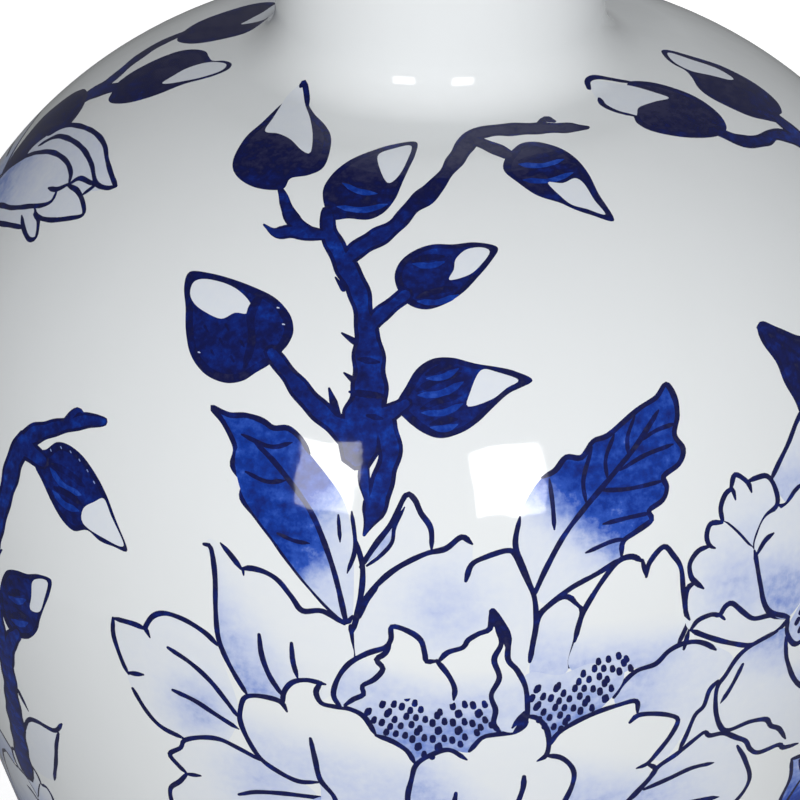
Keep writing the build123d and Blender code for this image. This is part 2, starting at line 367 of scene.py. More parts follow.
BUD_BIG = (
    [(-35.8, 69.6), (-38.4, 66.6), (-42, 64), (-45, 61.8), (-49.4, 60.6), (-54.6, 61.6), (-58.4, 65),
     (-60, 70), (-60.4, 75), (-61.2, 79.6), (-60, 83.2), (-55, 84.2), (-49, 84.2), (-43, 83.4),
     (-37.6, 81.8), (-34, 78.6), (-33, 75), (-34, 72)],
    [(-59.4, 78.4), (-58.6, 81.2), (-55.6, 82.6), (-50.6, 82.8), (-46.6, 81.8), (-43.6, 79.4), (-44.4, 77),
     (-47.4, 76.6), (-50.8, 74.6), (-55, 75.2), (-58, 76.4)],
)
BUD_SIDE = (
    [(-9.6, 60), (-7.4, 64.4), (-5, 68.4), (-1.4, 70.8), (3, 71), (8, 69.6), (13, 68.6), (17, 67.4),
     (20.8, 65), (15.6, 62.6), (12, 59.6), (8.8, 56.6), (5, 54.2), (0.4, 53), (-3.6, 54.2), (-7.4, 57)],
    [(9.2, 68), (13, 67.4), (17.6, 65.4), (15, 63.8), (11.6, 61.4), (6.4, 60), (6.8, 63)],
    [((-5, 63.5), (5, 66.5)), ((-4, 59.5), (5, 61.5)), ((-2, 56), (4, 56.6)), ((-3, 67), (4, 69.2))],
)


def buds_and_twigs(pen):
    """The bare upper branch: a thorny trunk that forks, and six buds."""
    for drawing in (BUD_TALL, BUD_SLIM, BUD_DROOP, BUD_SMALL, BUD_BIG, BUD_SIDE):
        bud(pen, *drawing)
    for x, y in ((-55, 72), (-51, 70), (-53, 67), (-48, 66.6), (-49.6, 73.4), (-45.6, 70.4)):
        sweep(pen, [(x, y, 1.7), (x + 0.7, y - 0.9, 1.5)], INK)
    ink(pen, [(-41, 82), (-43.4, 77), (-43, 71), (-44.6, 65)], 2.0)
    for x, y in ((-37, 79.6), (-35.6, 76), (-56.4, 66)):
        sweep(pen, [(x, y, 1.0), (x + 0.4, y, 1.0)], 0.2)
    wood(pen, [(-24, 99, 3.6), (-29, 98.8, 3.8), (-34, 98.6, 3.6), (-38, 97.4, 3), (-41, 98.8, 2)])
    wood(pen, [(-29, 99.4, 3.6), (-33.4, 101.2, 4), (-35.6, 104.6, 3.2), (-36.6, 107.4, 3.2),
        (-38, 110, 3)])
    wood(pen, [(-22, 92, 4.6), (-18, 96.6, 4.4), (-14, 99.6, 4.6), (-9.6, 103.4, 4), (-6.4, 108.2, 4),
        (-2.4, 112.6, 4.8), (0.6, 117.4, 3.6), (3, 122, 4.2), (5.4, 128, 4.6), (7.4, 133, 5.2),
        (12, 134.6, 5), (18, 134, 4.8), (24, 132.8, 4.6), (29, 131.4, 3.8), (33.5, 129.8, 3.2),
        (36, 129, 2.4)], 1, 0.5)
    sweep(pen, [(22.6, 134, 2.4), (25, 136, 2.6), (27.4, 134.4, 2.4)], INK)
    wood(pen, [(8, 131, 3.6), (12, 127.6, 3.8), (15.6, 124, 3.4)], 1, 1)
    wood(pen, [(-16, 76, 3), (-14, 79.6, 3.6), (-11, 82.6, 4), (-7.6, 85.6, 3.8)], 1, 1)
    wood(pen, [(-19, 53, 8), (-23.6, 55.4, 6), (-29, 59.6, 5.2), (-34, 64.8, 4.6), (-38, 69, 4.4)], 1, 1)
    wood(pen, [(-14, 57, 5), (-10.6, 58.6, 3.8), (-7.4, 60.6, 3.4)], 1, 1)
    wood(pen, [(-18, 49.6, 9), (-17, 55, 9.4), (-15.6, 62, 9), (-15.6, 68, 7.8), (-16, 75, 6),
        (-16.8, 80, 5.2), (-18.2, 86, 5.4), (-20.8, 91, 5.6), (-23.2, 95.6, 5.6), (-25.2, 100, 4.6),
        (-25.6, 105, 3.6)], 1, 0.8)
    for x, y, tip_x, tip_y in ((-22.6, 57, -24.6, 62.8), (-18, 64.4, -21.2, 66.6),
            (-18.4, 73.6, -21.8, 75.6), (-21.6, 86, -23.4, 88.6)):
        sweep(pen, [(x, y, 2.6), (tip_x, tip_y, 1.4)], INK)
    wood(pen, [(-16.6, 31, 1.6), (-15, 35, 4.2), (-13.4, 40, 5.8), (-12, 45, 5.4), (-10.8, 50, 5.2),
        (-12.4, 56, 6)], 0.5, 1)
    wood(pen, [(-15.8, 38, 2), (-16.7, 44, 2.6), (-16.3, 48.6, 2.6), (-16.4, 53, 3)])
    finish_wood()
    sweep(pen, [(-36.2, 142.6, 1.6), (-34.9, 143.6, 2.2), (-33.4, 141, 1.5), (-32.8, 138, 1.5)], INK)
    for left, right in (((-20, 62.5), (-12, 62)), ((-18, 70), (-13.4, 69.6)), ((-16, 57.5), (-12.6, 57))):
        ink(pen, [left, right], 1.5, INK, 0.4, 0.4)


def slim_leaf(pen):
    """A pointed leaf that leans left, dark towards the tip and thin at the base."""
    left = [(-52.4, 54.6), (-48, 53.8), (-44, 54.4), (-40, 53.8), (-37.4, 52.6), (-34, 53), (-31, 51),
        (-29, 48), (-25.4, 44), (-21.6, 39), (-19.6, 33), (-18.9, 24), (-19.2, 12), (-20.6, 10.6),
        (-24, 13), (-28.5, 17.5), (-33, 22.5), (-37.5, 28), (-41.5, 32.4), (-44.8, 36), (-44.4, 39.6),
        (-47.2, 42.8), (-46.6, 47), (-49.6, 52)]
    area(pen, left, fade((-36, 36), (-24, 27), LEAF, 0.12))
    ink(pen, left[12:] + left[:8], LINE, INK)
    vein = [(-42, 49), (-37, 45), (-31.5, 39), (-28, 34), (-25, 27), (-22.8, 20), (-20.8, 11)]
    area(pen, vein + [(-28.5, 17.5), (-37.5, 28), (-44.8, 37), (-46.4, 46)],
        fade((-33, 30), (-24, 17), LEAF, 0.14))
    ink(pen, vein, LINE, INK, 0.4, 0.9)
    for vein in ([(-36.4, 29.4), (-32.5, 28.2), (-29, 28)], [(-22.4, 35), (-22.2, 32), (-22, 29)],
            [(-19.4, 36), (-18.6, 28), (-20.4, 22)], [(-45, 50), (-38, 48.4), (-33, 50)],
            [(-44, 42), (-39, 40.6), (-34.6, 41.4)]):
        ink(pen, vein, 1.0, INK, 0.5, 0.3)


def broad_leaf(pen):
    """A toothed leaf that leans right."""
    right = [(21.3, 17), (18.6, 24), (17, 29), (18, 35), (20, 39.6), (23, 43.4), (26, 44.8), (28.4, 47.4),
        (32, 47), (34.6, 50.2), (38, 51), (42, 53.6), (46, 56), (50, 57.6), (52.4, 60), (54.6, 56.6),
        (55.2, 52.6), (54.4, 48.6), (56.6, 45), (55.4, 42), (51.6, 40), (52.4, 37.4), (51.4, 34.8),
        (48, 33), (48.6, 30.8), (45, 28.8), (41.8, 27), (41.4, 23.6), (36, 20.8), (29, 17.8), (24.6, 14.6)]
    area(pen, right, fade((38, 39), (26, 25), LEAF, 0.07))
    ink(pen, right[:4], LINE, INK, 0.9, 0.4)
    ink(pen, right[5:28], LINE, INK, 0.5, 0.5)
    ink(pen, [(21.5, 17.5), (24, 23), (28, 30), (33, 36), (39, 42), (45, 48), (50.4, 54.6)], LINE, INK, 0.9,
        0.4)
    for vein in ([(25.8, 31.6), (25.4, 37), (24.6, 43)], [(33, 37), (32.4, 42), (34.4, 49)],
            [(38, 41.6), (37.6, 46), (39.6, 51)], [(43, 46), (42.8, 50), (44.6, 54.4)],
            [(36.6, 39.2), (43, 38.6), (51.4, 39)], [(41, 43), (47, 45.4), (54, 46.6)],
            [(37, 31.6), (43, 32.2), (48.4, 32.4)], [(33, 25.6), (39, 27.4), (42.6, 27.4)],
            [(45.5, 48.6), (50, 50.4), (54.6, 51)]):
        ink(pen, vein, 1.0, INK, 0.4, 0.4)


def petal(pen, outline, lines, creases=(), value=PETAL):
    """One petal: a wash that hides what lies behind, bare where its value is near 0, and inked edges."""
    area(pen, outline, value)
    for points in lines:
        ink(pen, points)
    for points in creases:
        ink(pen, points, LINE, INK, 0.7, 0.3)


STAMEN_SPACING = 2.25
STAMEN_SHIFT = 0.45  # how far a stamen strays from its row, as a share of the spacing


def stamens(pen, outline, focus):
    """Dots and short dashes that crowd a patch, all pointing away from the flower's heart."""
    patch = curve(outline, closed=True)
    lowest, highest = patch.min(0), patch.max(0)
    rows = int((highest[1] - lowest[1]) / STAMEN_SPACING) + 1
    columns = int((highest[0] - lowest[0]) / STAMEN_SPACING) + 2
    for row in range(rows):
        for column in range(columns):
            wave = sin(row * 12.9 + column * 78.2) * STAMEN_SHIFT
            dot = lowest + STAMEN_SPACING * np.array([column + 0.5 * (row % 2) + wave * 0.4, row + wave])
            if winding(patch, dot[None, :])[0] == 0:
                continue
            away = dot - focus
            away = away / np.hypot(*away) * (0.34 + 0.3 * abs(wave))
            ends = [(*(dot - away), 1.5 + 0.4 * wave), (*(dot + away), 1.7)]
            sweep(pen, ends, INK, 0.9, 0.9, 0)


def winding(outline, points):
    """How many times the outline goes round each point."""
    turns = np.zeros(len(points), int)
    nxt = np.roll(outline, -1, axis=0)
    for first in range(0, len(outline), 64):
        a, b = outline[first : first + 64], nxt[first : first + 64]
        up = (a[:, None, 1] <= points[:, 1]) & (b[:, None, 1] > points[:, 1])
        down = (a[:, None, 1] > points[:, 1]) & (b[:, None, 1] <= points[:, 1])
        left = ((b[:, None, 0] - a[:, None, 0]) * (points[:, 1] - a[:, None, 1])
                - (points[:, 0] - a[:, None, 0]) * (b[:, None, 1] - a[:, None, 1]))
        turns += (up & (left > 0)).sum(0) - (down & (left < 0)).sum(0)
    return turns


def peony(pen):
    """The full-blown flower, from the petals at its back to the ones that fold over its heart."""
    # small folded leaf beside the stem
    area(pen, [(-17.6, 23.5), (-14, 29), (-10.5, 34), (-7, 40.4), (-4, 37), (-1.8, 33), (-1.4, 28.6),
        (-9, 23.6), (-16, 17)], 0.03)
    area(pen, [(-17.4, 24), (-14, 29.4), (-10.4, 34.2), (-8.4, 37), (-9.6, 32), (-12.4, 27.6)], 0.22)
    ink(pen, [(-17.4, 23.6), (-14, 29), (-10.4, 34), (-7.4, 40.2), (-5.4, 39.4), (-4, 36.4), (-1.8, 33),
        (-1.6, 28.2)])
    ink(pen, [(-16, 24), (-13, 26.4), (-10.4, 29.6), (-9.8, 33.2), (-7.6, 37.6)], 0.9)
    # tall petal behind, between the leaves
    back = [(-19.2, 1), (-19.4, 8), (-17, 15), (-13.5, 20), (-9, 24), (-3, 27.2), (1.5, 28.4), (5, 31),
        (7.4, 29.4), (7.6, 26), (10, 26.2), (15, 27.6), (17, 26.6), (19, 22), (21.2, 17), (21.8, 11),
        (20.5, 1), (12, -12), (-8, -12)]
    petal(pen, back, [back[1:9], [(6, 21), (7.2, 24.6)] + back[10:16] + [(21.2, 6), (20.4, 1.4)]],
        value=spot((2, 14), 16, 0.17, 0.05))
    for stem in ([(-18.6, 11), (-17.2, 18), (-17, 24), (-18.6, 30)],
            [(-17.8, 12), (-15.8, 16.4), (-13.4, 20)], [(-19.6, 9.6), (-19.4, 5), (-19, 1)]):
        ink(pen, stem, 1.3, INK, 0.9, 0.5)

    # right-hand back petals
    narrow = [(20.4, 1), (21.4, 7), (22.6, 12), (25.4, 14.8), (28.4, 16), (31, 14.2), (32.2, 12), (31, 6),
        (29.4, -1.4), (25, -6), (21, -6)]
    petal(pen, narrow, [narrow[:9]], value=fade((24, -4), (28, 14), 0.2, 0.04))
    area(pen, [(30, 17), (33.6, 18.8), (38, 20.4), (36, 17.4), (33, 13)], 0.0)
    broad = [(29.4, -1.2), (30.6, 5), (32.2, 11), (34.8, 15.6), (38, 20), (41, 22.8), (44, 23.2),
        (46.6, 21.6), (47.6, 19.4), (48.6, 21.6), (51.6, 24.2), (54, 21.8), (56, 18.4), (56.6, 13),
        (57.2, 9), (58, 5.6), (56.8, 2.6), (55.4, 0), (53, -1.6), (50, -3.6), (44, -4), (36, -6)]
    petal(pen, broad, [broad[1:8], [(47.4, 18), (48.2, 21.2)] + broad[10:18], [(46.4, 22), (47.4, 18)]],
        value=fade((44, -3), (45, 9), 0.2, 0.0))
    ink(pen, [(21.8, 12), (25.6, 15), (30, 18), (36, 20.6), (41.4, 23.2)])
    side = [(40, -10.6), (42, -7.4), (45.4, -4.6), (50, -3.7), (53, -1.2), (56.4, 0), (60, -0.2),
        (63, -1.4), (66, -3), (70, -7), (66, -12), (62, -18.6), (58, -24), (52, -31), (46, -24), (42, -16)]
    petal(pen, side, [side[:7] + [(63, -1.6), (65.4, -3.6)], [(57, -1.4), (58.2, 3.2)]],
        value=fade((44, -9), (60, -14), 0.2, 0.08))

    # left-hand back petals
    tall = [(-19.2, 1), (-19.6, 6), (-21, 10), (-26, 12.6), (-30.6, 12.2), (-33, 15), (-36, 18.4),
        (-39, 20), (-42.4, 20.5), (-45, 20), (-47.6, 22.6), (-52, 25.6), (-53.6, 24), (-51.6, 18),
        (-51.3, 9), (-50.6, 2), (-48, -4), (-43.6, -11), (-34, -12), (-24, -8)]
    petal(pen, tall, [tall[2:10], [(-45, 20), (-47.6, 22.8), (-50, 25)],
        [(-54.2, 24), (-52.4, 23.4), (-51.4, 17)] + tall[14:17] + [(-43.8, -11)]],
        [[(-40.8, 5), (-40.2, 0), (-38.4, -5), (-35.2, -10)], [(-33.2, 4), (-32.9, -0.4), (-31.8, -4.6)],
        [(-44.6, 20), (-44.4, 18.6)]], value=fade((-49, -2), (-36, 9), 0.24, 0.02))
    far = [(-46, -16), (-49, -5), (-51, 0.6), (-54, 3), (-59, 5), (-64, 5.5), (-67.4, 4), (-69.5, 0.8),
        (-72, 0.3), (-75.4, 1), (-79.2, 0.4), (-79.2, -3), (-77.4, -8), (-75.4, -12), (-74.4, -15.4),
        (-70, -22), (-66, -25.4), (-60, -27), (-50, -26)]
    petal(pen, far, [far[2:8] + [(-69.2, -0.2), (-68.4, -1.6)], [(-69.6, 0.2), (-73, 0.6), (-78.6, 0.4)],
        [(-78.6, 0.4), (-78.6, -4), (-76.4, -10), (-74.6, -13.2)], [(-74.6, -12.8), (-70.4, -12)],
        [(-73.6, -16.8)] + far[15:18]], [[(-63.6, -3), (-58, -5.4), (-53, -9), (-49, -13.6), (-46, -17.6)],
        [(-62.6, -14), (-57, -15.4), (-52, -17.8), (-46, -20.8)]], value=spot((-56, -17), 14, 0.22, 0.04))
    low_left = [(-41, -28.6), (-46, -26.4), (-51, -24.8), (-56, -25.6), (-60, -27.6), (-61, -30),
        (-64, -32.8), (-62, -35.4), (-59.6, -37.4), (-61.6, -40.4), (-64.4, -44), (-63, -50), (-57, -56),
        (-48, -59), (-38, -56), (-30, -46), (-28, -36)]
    petal(pen, low_left, [low_left[:9], low_left[8:15], [(-59.8, -37.6), (-56, -37)]],
        [[(-46.4, -40.2), (-42, -38.4), (-35, -37.5), (-25, -37.4)], [(-50, -50), (-42, -47), (-34, -43)]],
        value=spot((-40, -34), 18, 0.18, 0.03))

    # lower right petals, most of them below the widest ring
    low_right = [(46, -39.6), (49, -36), (51.4, -32.6), (56, -30), (60, -27.2), (63.4, -25.4), (70, -29),
        (74, -33), (76, -40), (76.4, -45), (70, -52), (60, -56), (48, -56), (40, -48)]
    petal(pen, low_right, [[(43.6, -41.4)] + low_right[:5] + [(63.4, -25.2)],
        [(72.4, -32.6), (75, -38), (76.6, -45), (72, -51), (62, -55)]],
        [[(48, -38.6), (54, -37), (60, -35.4), (66, -35.6)], [(52, -47), (60, -46), (68, -47)]],
        value=fade((48, -44), (66, -34), 0.2, 0.06))
    under = [(-34, -44), (-38, -55), (-32, -66), (-20, -73), (-8, -70), (4, -75), (18, -72), (30, -66),
        (40, -60), (42, -48), (30, -38), (0, -34), (-24, -36)]
    petal(pen, under, [under[:10]], [[(-18, -46), (-20, -56), (-19, -64)], [(0, -44), (0, -54), (2, -63)],
        [(20, -44), (22, -54), (22, -61)]], value=fade((2, -44), (2, -66), 0.26, 0.02))

    # the bowl of stamens
    heart = [(-20, -9), (-16, -4), (-4, -2), (8, -4), (14, -10), (20, -2), (27, -3), (34, -1), (41, -1.6),
        (42, -7), (36, -14), (26, -22), (10, -26), (-6, -28), (-16, -20)]
    area(pen, heart, fade((0, -5), (2, -22), 0.15, 0.3))

    # petals in front
    right = [(25, -21.6), (27, -18.6), (31, -16), (36, -14), (41, -12.9), (45, -12.4), (46, -16.4),
        (50, -17), (54, -18.4), (56, -20.2), (54.4, -24), (51, -28.4), (48.6, -31), (49.4, -34), (46, -39),
        (42, -43), (34, -48), (24, -50), (14, -40), (18, -28)]
    petal(pen, right, [[(25.2, -21.6)] + right[1:5] + [(45.4, -12.6), (45.8, -16)],
        [(44, -18.2), (46, -16.6)] + right[7:13] + [(46, -31.8)], [(48.6, -31), (50.6, -33.6)]
        + right[14:17]], value=fade((33, -40), (38, -24), 0.2, 0.0))
    left = [(-45.6, -15.6), (-44.6, -12), (-42, -10.8), (-38, -10.8), (-35.4, -12), (-35, -8.6),
        (-33, -5.8), (-29.6, -4.8), (-26, -5), (-27.4, -8), (-26, -10.6), (-23.4, -11), (-20, -11.3),
        (-16.6, -13.2), (-13.8, -18), (-10.4, -19.4), (-7, -22), (-5.2, -25.6), (-6, -30), (-6.6, -36),
        (-9, -44), (-17, -50), (-26, -47), (-27, -33.4), (-32, -33.2), (-37, -31), (-41, -28), (-44, -23)]
    petal(pen, left, [[(-27.4, -32.8)] + left[24:] + [(-45.6, -18.6)] + left[:4]
        + [(-35.6, -11.6), (-34.4, -13.8)], left[4:8] + [(-25.4, -5.4)],
        [(-26.4, -5), (-27.6, -7.6), (-26.4, -10.4)] + left[11:14] + [(-14, -18)], [(-14, -18)]
        + left[15:18], [(-29, -20.4), (-28, -26), (-26.8, -32), (-23.4, -37.4), (-24, -44), (-26, -47)]],
        value=fade((-37, -27), (-34, -14), 0.14, 0.0))
    middle = [(-6.8, -37), (-6, -30), (-4.8, -25.6), (-1, -22.6), (2.6, -21.6), (6.8, -22.4), (7.6, -20.4),
        (9.8, -18.4), (13, -17.6), (17, -17.2), (19.6, -13.4), (22.4, -14), (24.4, -17), (25, -21),
        (24.6, -24.6), (28, -25.6), (30.6, -29), (30.8, -33), (28.6, -39), (24, -47), (14, -53), (4, -52),
        (-4, -46)]
    petal(pen, middle, [[(-4, -46)] + middle[:5] + [(6.4, -24.4)], [(7, -22)] + middle[7:10]
        + [(19.4, -15.4), (19.8, -13)], [(19.8, -13)] + middle[11:14] + [(24.4, -24.4), (22.4, -25.8)],
        [(24.4, -24.4)] + middle[15:]], [[(19.4, -30), (19.2, -33.4), (17.8, -38.6)],
        [(4, -34), (3.4, -40), (4.4, -45)]], value=fade((-3, -36), (8, -26), 0.22, 0.02))
    stamens(pen, [(-17.4, -11), (-12, -8.6), (-5, -7.4), (-1, -11.4), (3, -9), (7.6, -6.8), (12, -10.4),
        (12, -15.6), (8, -18.6), (3, -20.8), (-3, -24), (-8, -20.4), (-13, -17)], (-1, 26))
    stamens(pen, [(20.8, -6), (26, -4.4), (31, -4.6), (34, 0), (40, 0.4), (46, -0.6), (45, -3.6),
        (40.6, -7.6), (38, -12), (32, -14.4), (25.6, -18.4), (22, -12.6)], (34, 26))

    # curled petals over the heart
    fold = [(-22, -11), (-23.6, -8), (-22.6, -3.6), (-20, 0.4), (-16, 3.2), (-12, 4.9), (-10.6, 7),
        (-10.4, 10), (-7, 9.2), (-4, 7), (-3, 3), (0, 2), (1.8, -1), (3.6, -5), (3, -9), (-5, -7.6),
        (-12, -8.6), (-16, -7.4)]
    petal(pen, fold, [fold[:10] + [(-3, 3.4), (-2.6, 1.8), (0, 2)],
        [(-21, -10.4), (-19, -8.6), (-16.8, -7.2), (-17, -5), (-14.4, -3.2), (-12.4, -0.4), (-13.8, 1.8),
        (-11.8, 3.6), (-10.6, 6.4)]], value=fade((-8, -7), (-6, 1), 0.16, 0.0))
    curl = [(0.2, 2), (2, 4), (5.4, 5.2), (6.6, 7), (9, 8.5), (11.4, 9.6), (12, 13.6), (14, 11),
        (15.6, 7.4), (15.5, 2), (17.6, -1), (19.4, -5), (20, -10), (19.6, -14), (17, -17.2), (13.4, -16),
        (12.4, -13), (12, -7.6), (9, -7), (4, -8), (3.4, -4)]
    petal(pen, curl, [curl[:15], [(12.8, 10.4), (14, 6), (12.4, 2), (13.6, -2.6), (11.8, -7), (12.8, -11),
        (12.4, -14.6), (14, -17.4)], [(19.4, -12), (16.6, -16)]], value=fade((8, -8), (8, 0), 0.14, 0.0))
    ink(pen, [(12, 13.6), (13.2, 10.8), (15, 8.4), (15.6, 4)], 2.2, INK, 0.8, 0.4)
    ink(pen, [(-0.4, 2), (2.2, -1.6), (3.6, -5), (3.4, -8)], LINE, INK, 0.7, 0.4)


def half_flower(pen):
    """The left-hand petals of a smaller flower whose heart is at x = 14."""
    top = [(-15.2, 18), (-17, 20), (-20, 24), (-23, 27), (-22.8, 30), (-21, 32.8), (-19.2, 34),
        (-17.5, 36.5), (-14.6, 34), (-12, 34.4), (-9, 34), (-7.4, 31), (-7.5, 27), (-4, 22), (-6, 14)]
    petal(pen, top, [top[:4], [(-22.8, 26.6), (-22.8, 30), (-21, 32.8), (-19, 33.4), (-18.6, 31)],
        [(-19.4, 33.6), (-17.5, 36.5), (-14.6, 34), (-14, 31.6)], [(-14.4, 34.2)] + top[9:12]
        + [(-7.4, 27), (-11, 25), (-14, 21.6), (-15.4, 18)]], value=fade((-13, 20), (-15, 31), 0.14, 0.05))
    left = [(-15.2, 18), (-17, 20), (-20, 24), (-23, 27), (-26, 27), (-27.5, 24.5), (-27, 22), (-30, 21.5),
        (-32.5, 19), (-32.3, 16), (-31, 14.2), (-33.6, 13), (-34.4, 8), (-33, 3), (-24, 2), (-14, 0),
        (-13, 10)]
    petal(pen, left, [[(-23, 26.7), (-26, 27), (-27.4, 24.5), (-27, 22.2), (-25.6, 21.2)],
        [(-27, 22), (-30, 21.5), (-32.4, 19), (-32.4, 16), (-31.4, 14.4), (-29.4, 12.4)],
        [(-31.4, 14.4), (-33.6, 13), (-34.2, 8), (-33.2, 5.6)]], value=spot((-20, 11), 16, 0.2, 0.05))
    fold = [(-33, 3), (-31, 5), (-27.5, 5.6), (-25.4, 5), (-24, 6.6), (-22, 7), (-19, 4), (-16, 1.6),
        (-11, 1), (-5.6, -1.2), (-9, -3.6), (-16, -5), (-22, -3), (-28, 0)]
    petal(pen, fold, [fold[:10], fold[9:] + [(-33, 3)], [(-25.4, 5), (-24, 3.5)]], value=0.05)
    under = [(-25, -12), (-27, -14), (-28, -18), (-30, -20), (-31.4, -25), (-32.6, -29), (-28, -27),
        (-22, -27), (-20, -20)]
    petal(pen, under, [under[:6]], value=0.06)
    low = [(-21, -27.5), (-17, -30), (-14, -32), (-12, -35), (-9, -37), (-3, -37), (-1, -38.6), (4, -39.4),
        (12, -38), (14, -24), (-8, -18)]
    petal(pen, low, [[(-33, -30), (-29, -27), (-26.5, -25.6), (-25, -27)] + low[:8]], value=0.05)
    broad = [(-9, -3.6), (-16, -5), (-20, -7), (-23, -11), (-25, -14), (-24.5, -20), (-22.5, -25),
        (-20, -27), (-14, -26.5), (-9, -27.5), (-7, -30), (-4, -32), (-1, -36), (8, -38), (16, -30),
        (14, -14), (4, -4)]
    petal(pen, broad, [broad[:13]], [[(-18.5, -9.5), (-21, -14.6), (-23.4, -18.4)]],
        value=fade((-2, -6), (-8, -20), 0.26, 0.05))


def small_flower(pen):
    """A smaller flower: two halves, a tall petal over them and the curled petals of its heart."""
    crown = [(-8, 33), (-5, 36), (-1, 39.6), (3, 43.6), (7, 45.6), (11, 43.6), (14.6, 46), (19, 44.4),
        (23, 41), (27, 39.6), (31, 37), (36, 33), (30, 24), (14, 20), (-2, 24)]
    petal(pen, crown, [crown[:12], [(11, 43.6), (10.6, 40.6)], [(23, 41), (22, 38)],
        [(-7.6, 26.6), (-5, 26), (-2, 28.4), (1, 29.4)]], value=fade((10, 26), (12, 41), 0.2, 0.04))
    half_flower(pen.facing(28.0, 2.0))
    half_flower(pen)
    heart = [(-5, -2), (-6, -6), (-3, -11), (4, -15), (13, -16), (22, -14), (30, -10), (33, -4), (31, 4),
        (22, 8), (6, 8)]
    area(pen, heart, 0.2)
    ink(pen, [(-15.2, 18), (-14.5, 14), (-14, 9), (-13, 4), (-10.6, 0.8), (-5.8, -1)])
    tall = [(-15.2, 18), (-14, 9), (-13, 4), (-10.6, 0.8), (-5.8, -1), (2, 4), (12, 2), (12, 14), (8, 24),
        (2, 29), (-5, 26), (-11, 25), (-14, 21.6)]
    petal(pen, tall, [[(-14.6, 17), (-12, 19.6), (-9.4, 20.6)], [(0.6, 29), (5, 26.6), (9, 20), (12, 10)],
        [(-5.8, -1), (-12, 2.6), (-14, 9), (-15.2, 18)]], value=fade((-7, 5), (-4, 20), 0.24, 0.06))
    other = [(12, 2), (24, 4), (33, -2), (40, 2), (43, 10), (42, 19), (36, 25), (27, 29), (18, 27),
        (12, 20)]
    petal(pen, other, [other[2:8] + [(21, 28.6), (15, 24), (12.6, 18)], [(36, 20), (39, 15)]],
        value=fade((24, 4), (30, 20), 0.22, 0.04))
    stamens(pen, [(-2, 1), (4, 4), (12, 5), (22, 5), (30, 2), (30, -6), (22, -11), (12, -13), (3, -11),
        (-3, -6)], (14, 20))
    lip = [(-5.8, -1), (-6, -5), (-3, -9), (2, -7.6), (6, -8), (9, -12), (14, -8.6), (19, -12.4), (22, -9),
        (27, -10), (32, -6), (36, -12), (32, -20), (22, -25), (10, -26), (0, -21), (-5, -13)]
    petal(pen, lip, [lip[:11], lip[10:] + [(-6.4, -6)]], [[(12, -15), (12, -20)], [(22, -15), (21, -20)]],
        value=fade((14, -23), (14, -12), 0.22, 0.02))


def lobed(pen, root, heading, length, width, lobes, shade):
    """A petal that fans out from its root to an edge of small lobes."""
    along = np.array([cos(radians(heading)), sin(radians(heading))])
    across = np.array([-along[1], along[0]])
    edge = []
    for i in range(lobes * 4 + 1):
        share = i / (lobes * 4) * 2 - 1
        reach = 0.82 + 0.1 * abs(sin(pi * i / 4)) ** 0.6 - 0.2 * share * share + 0.05 * sin(i * 2.3 + heading)
        edge.append(np.array(root) + along * length * reach + across * width / 2 * share * 1.02)
    sides = [np.array(root) + along * length * 0.42 + across * width * 0.4 * s for s in (-1, 1)]
    outline = [np.array(root, float), sides[0]] + edge + [sides[1]]
    petal(pen, outline, [outline[:3], edge, [edge[-1], sides[1], outline[0]]],
          [[np.array(root) + along * length * 0.35 + across * width * s,
            np.array(root) + along * length * 0.66 + across * width * 1.7 * s] for s in (-0.12, 0.12)],
          value=fade(root, np.array(root) + along * length * 0.8, shade, 0.03))


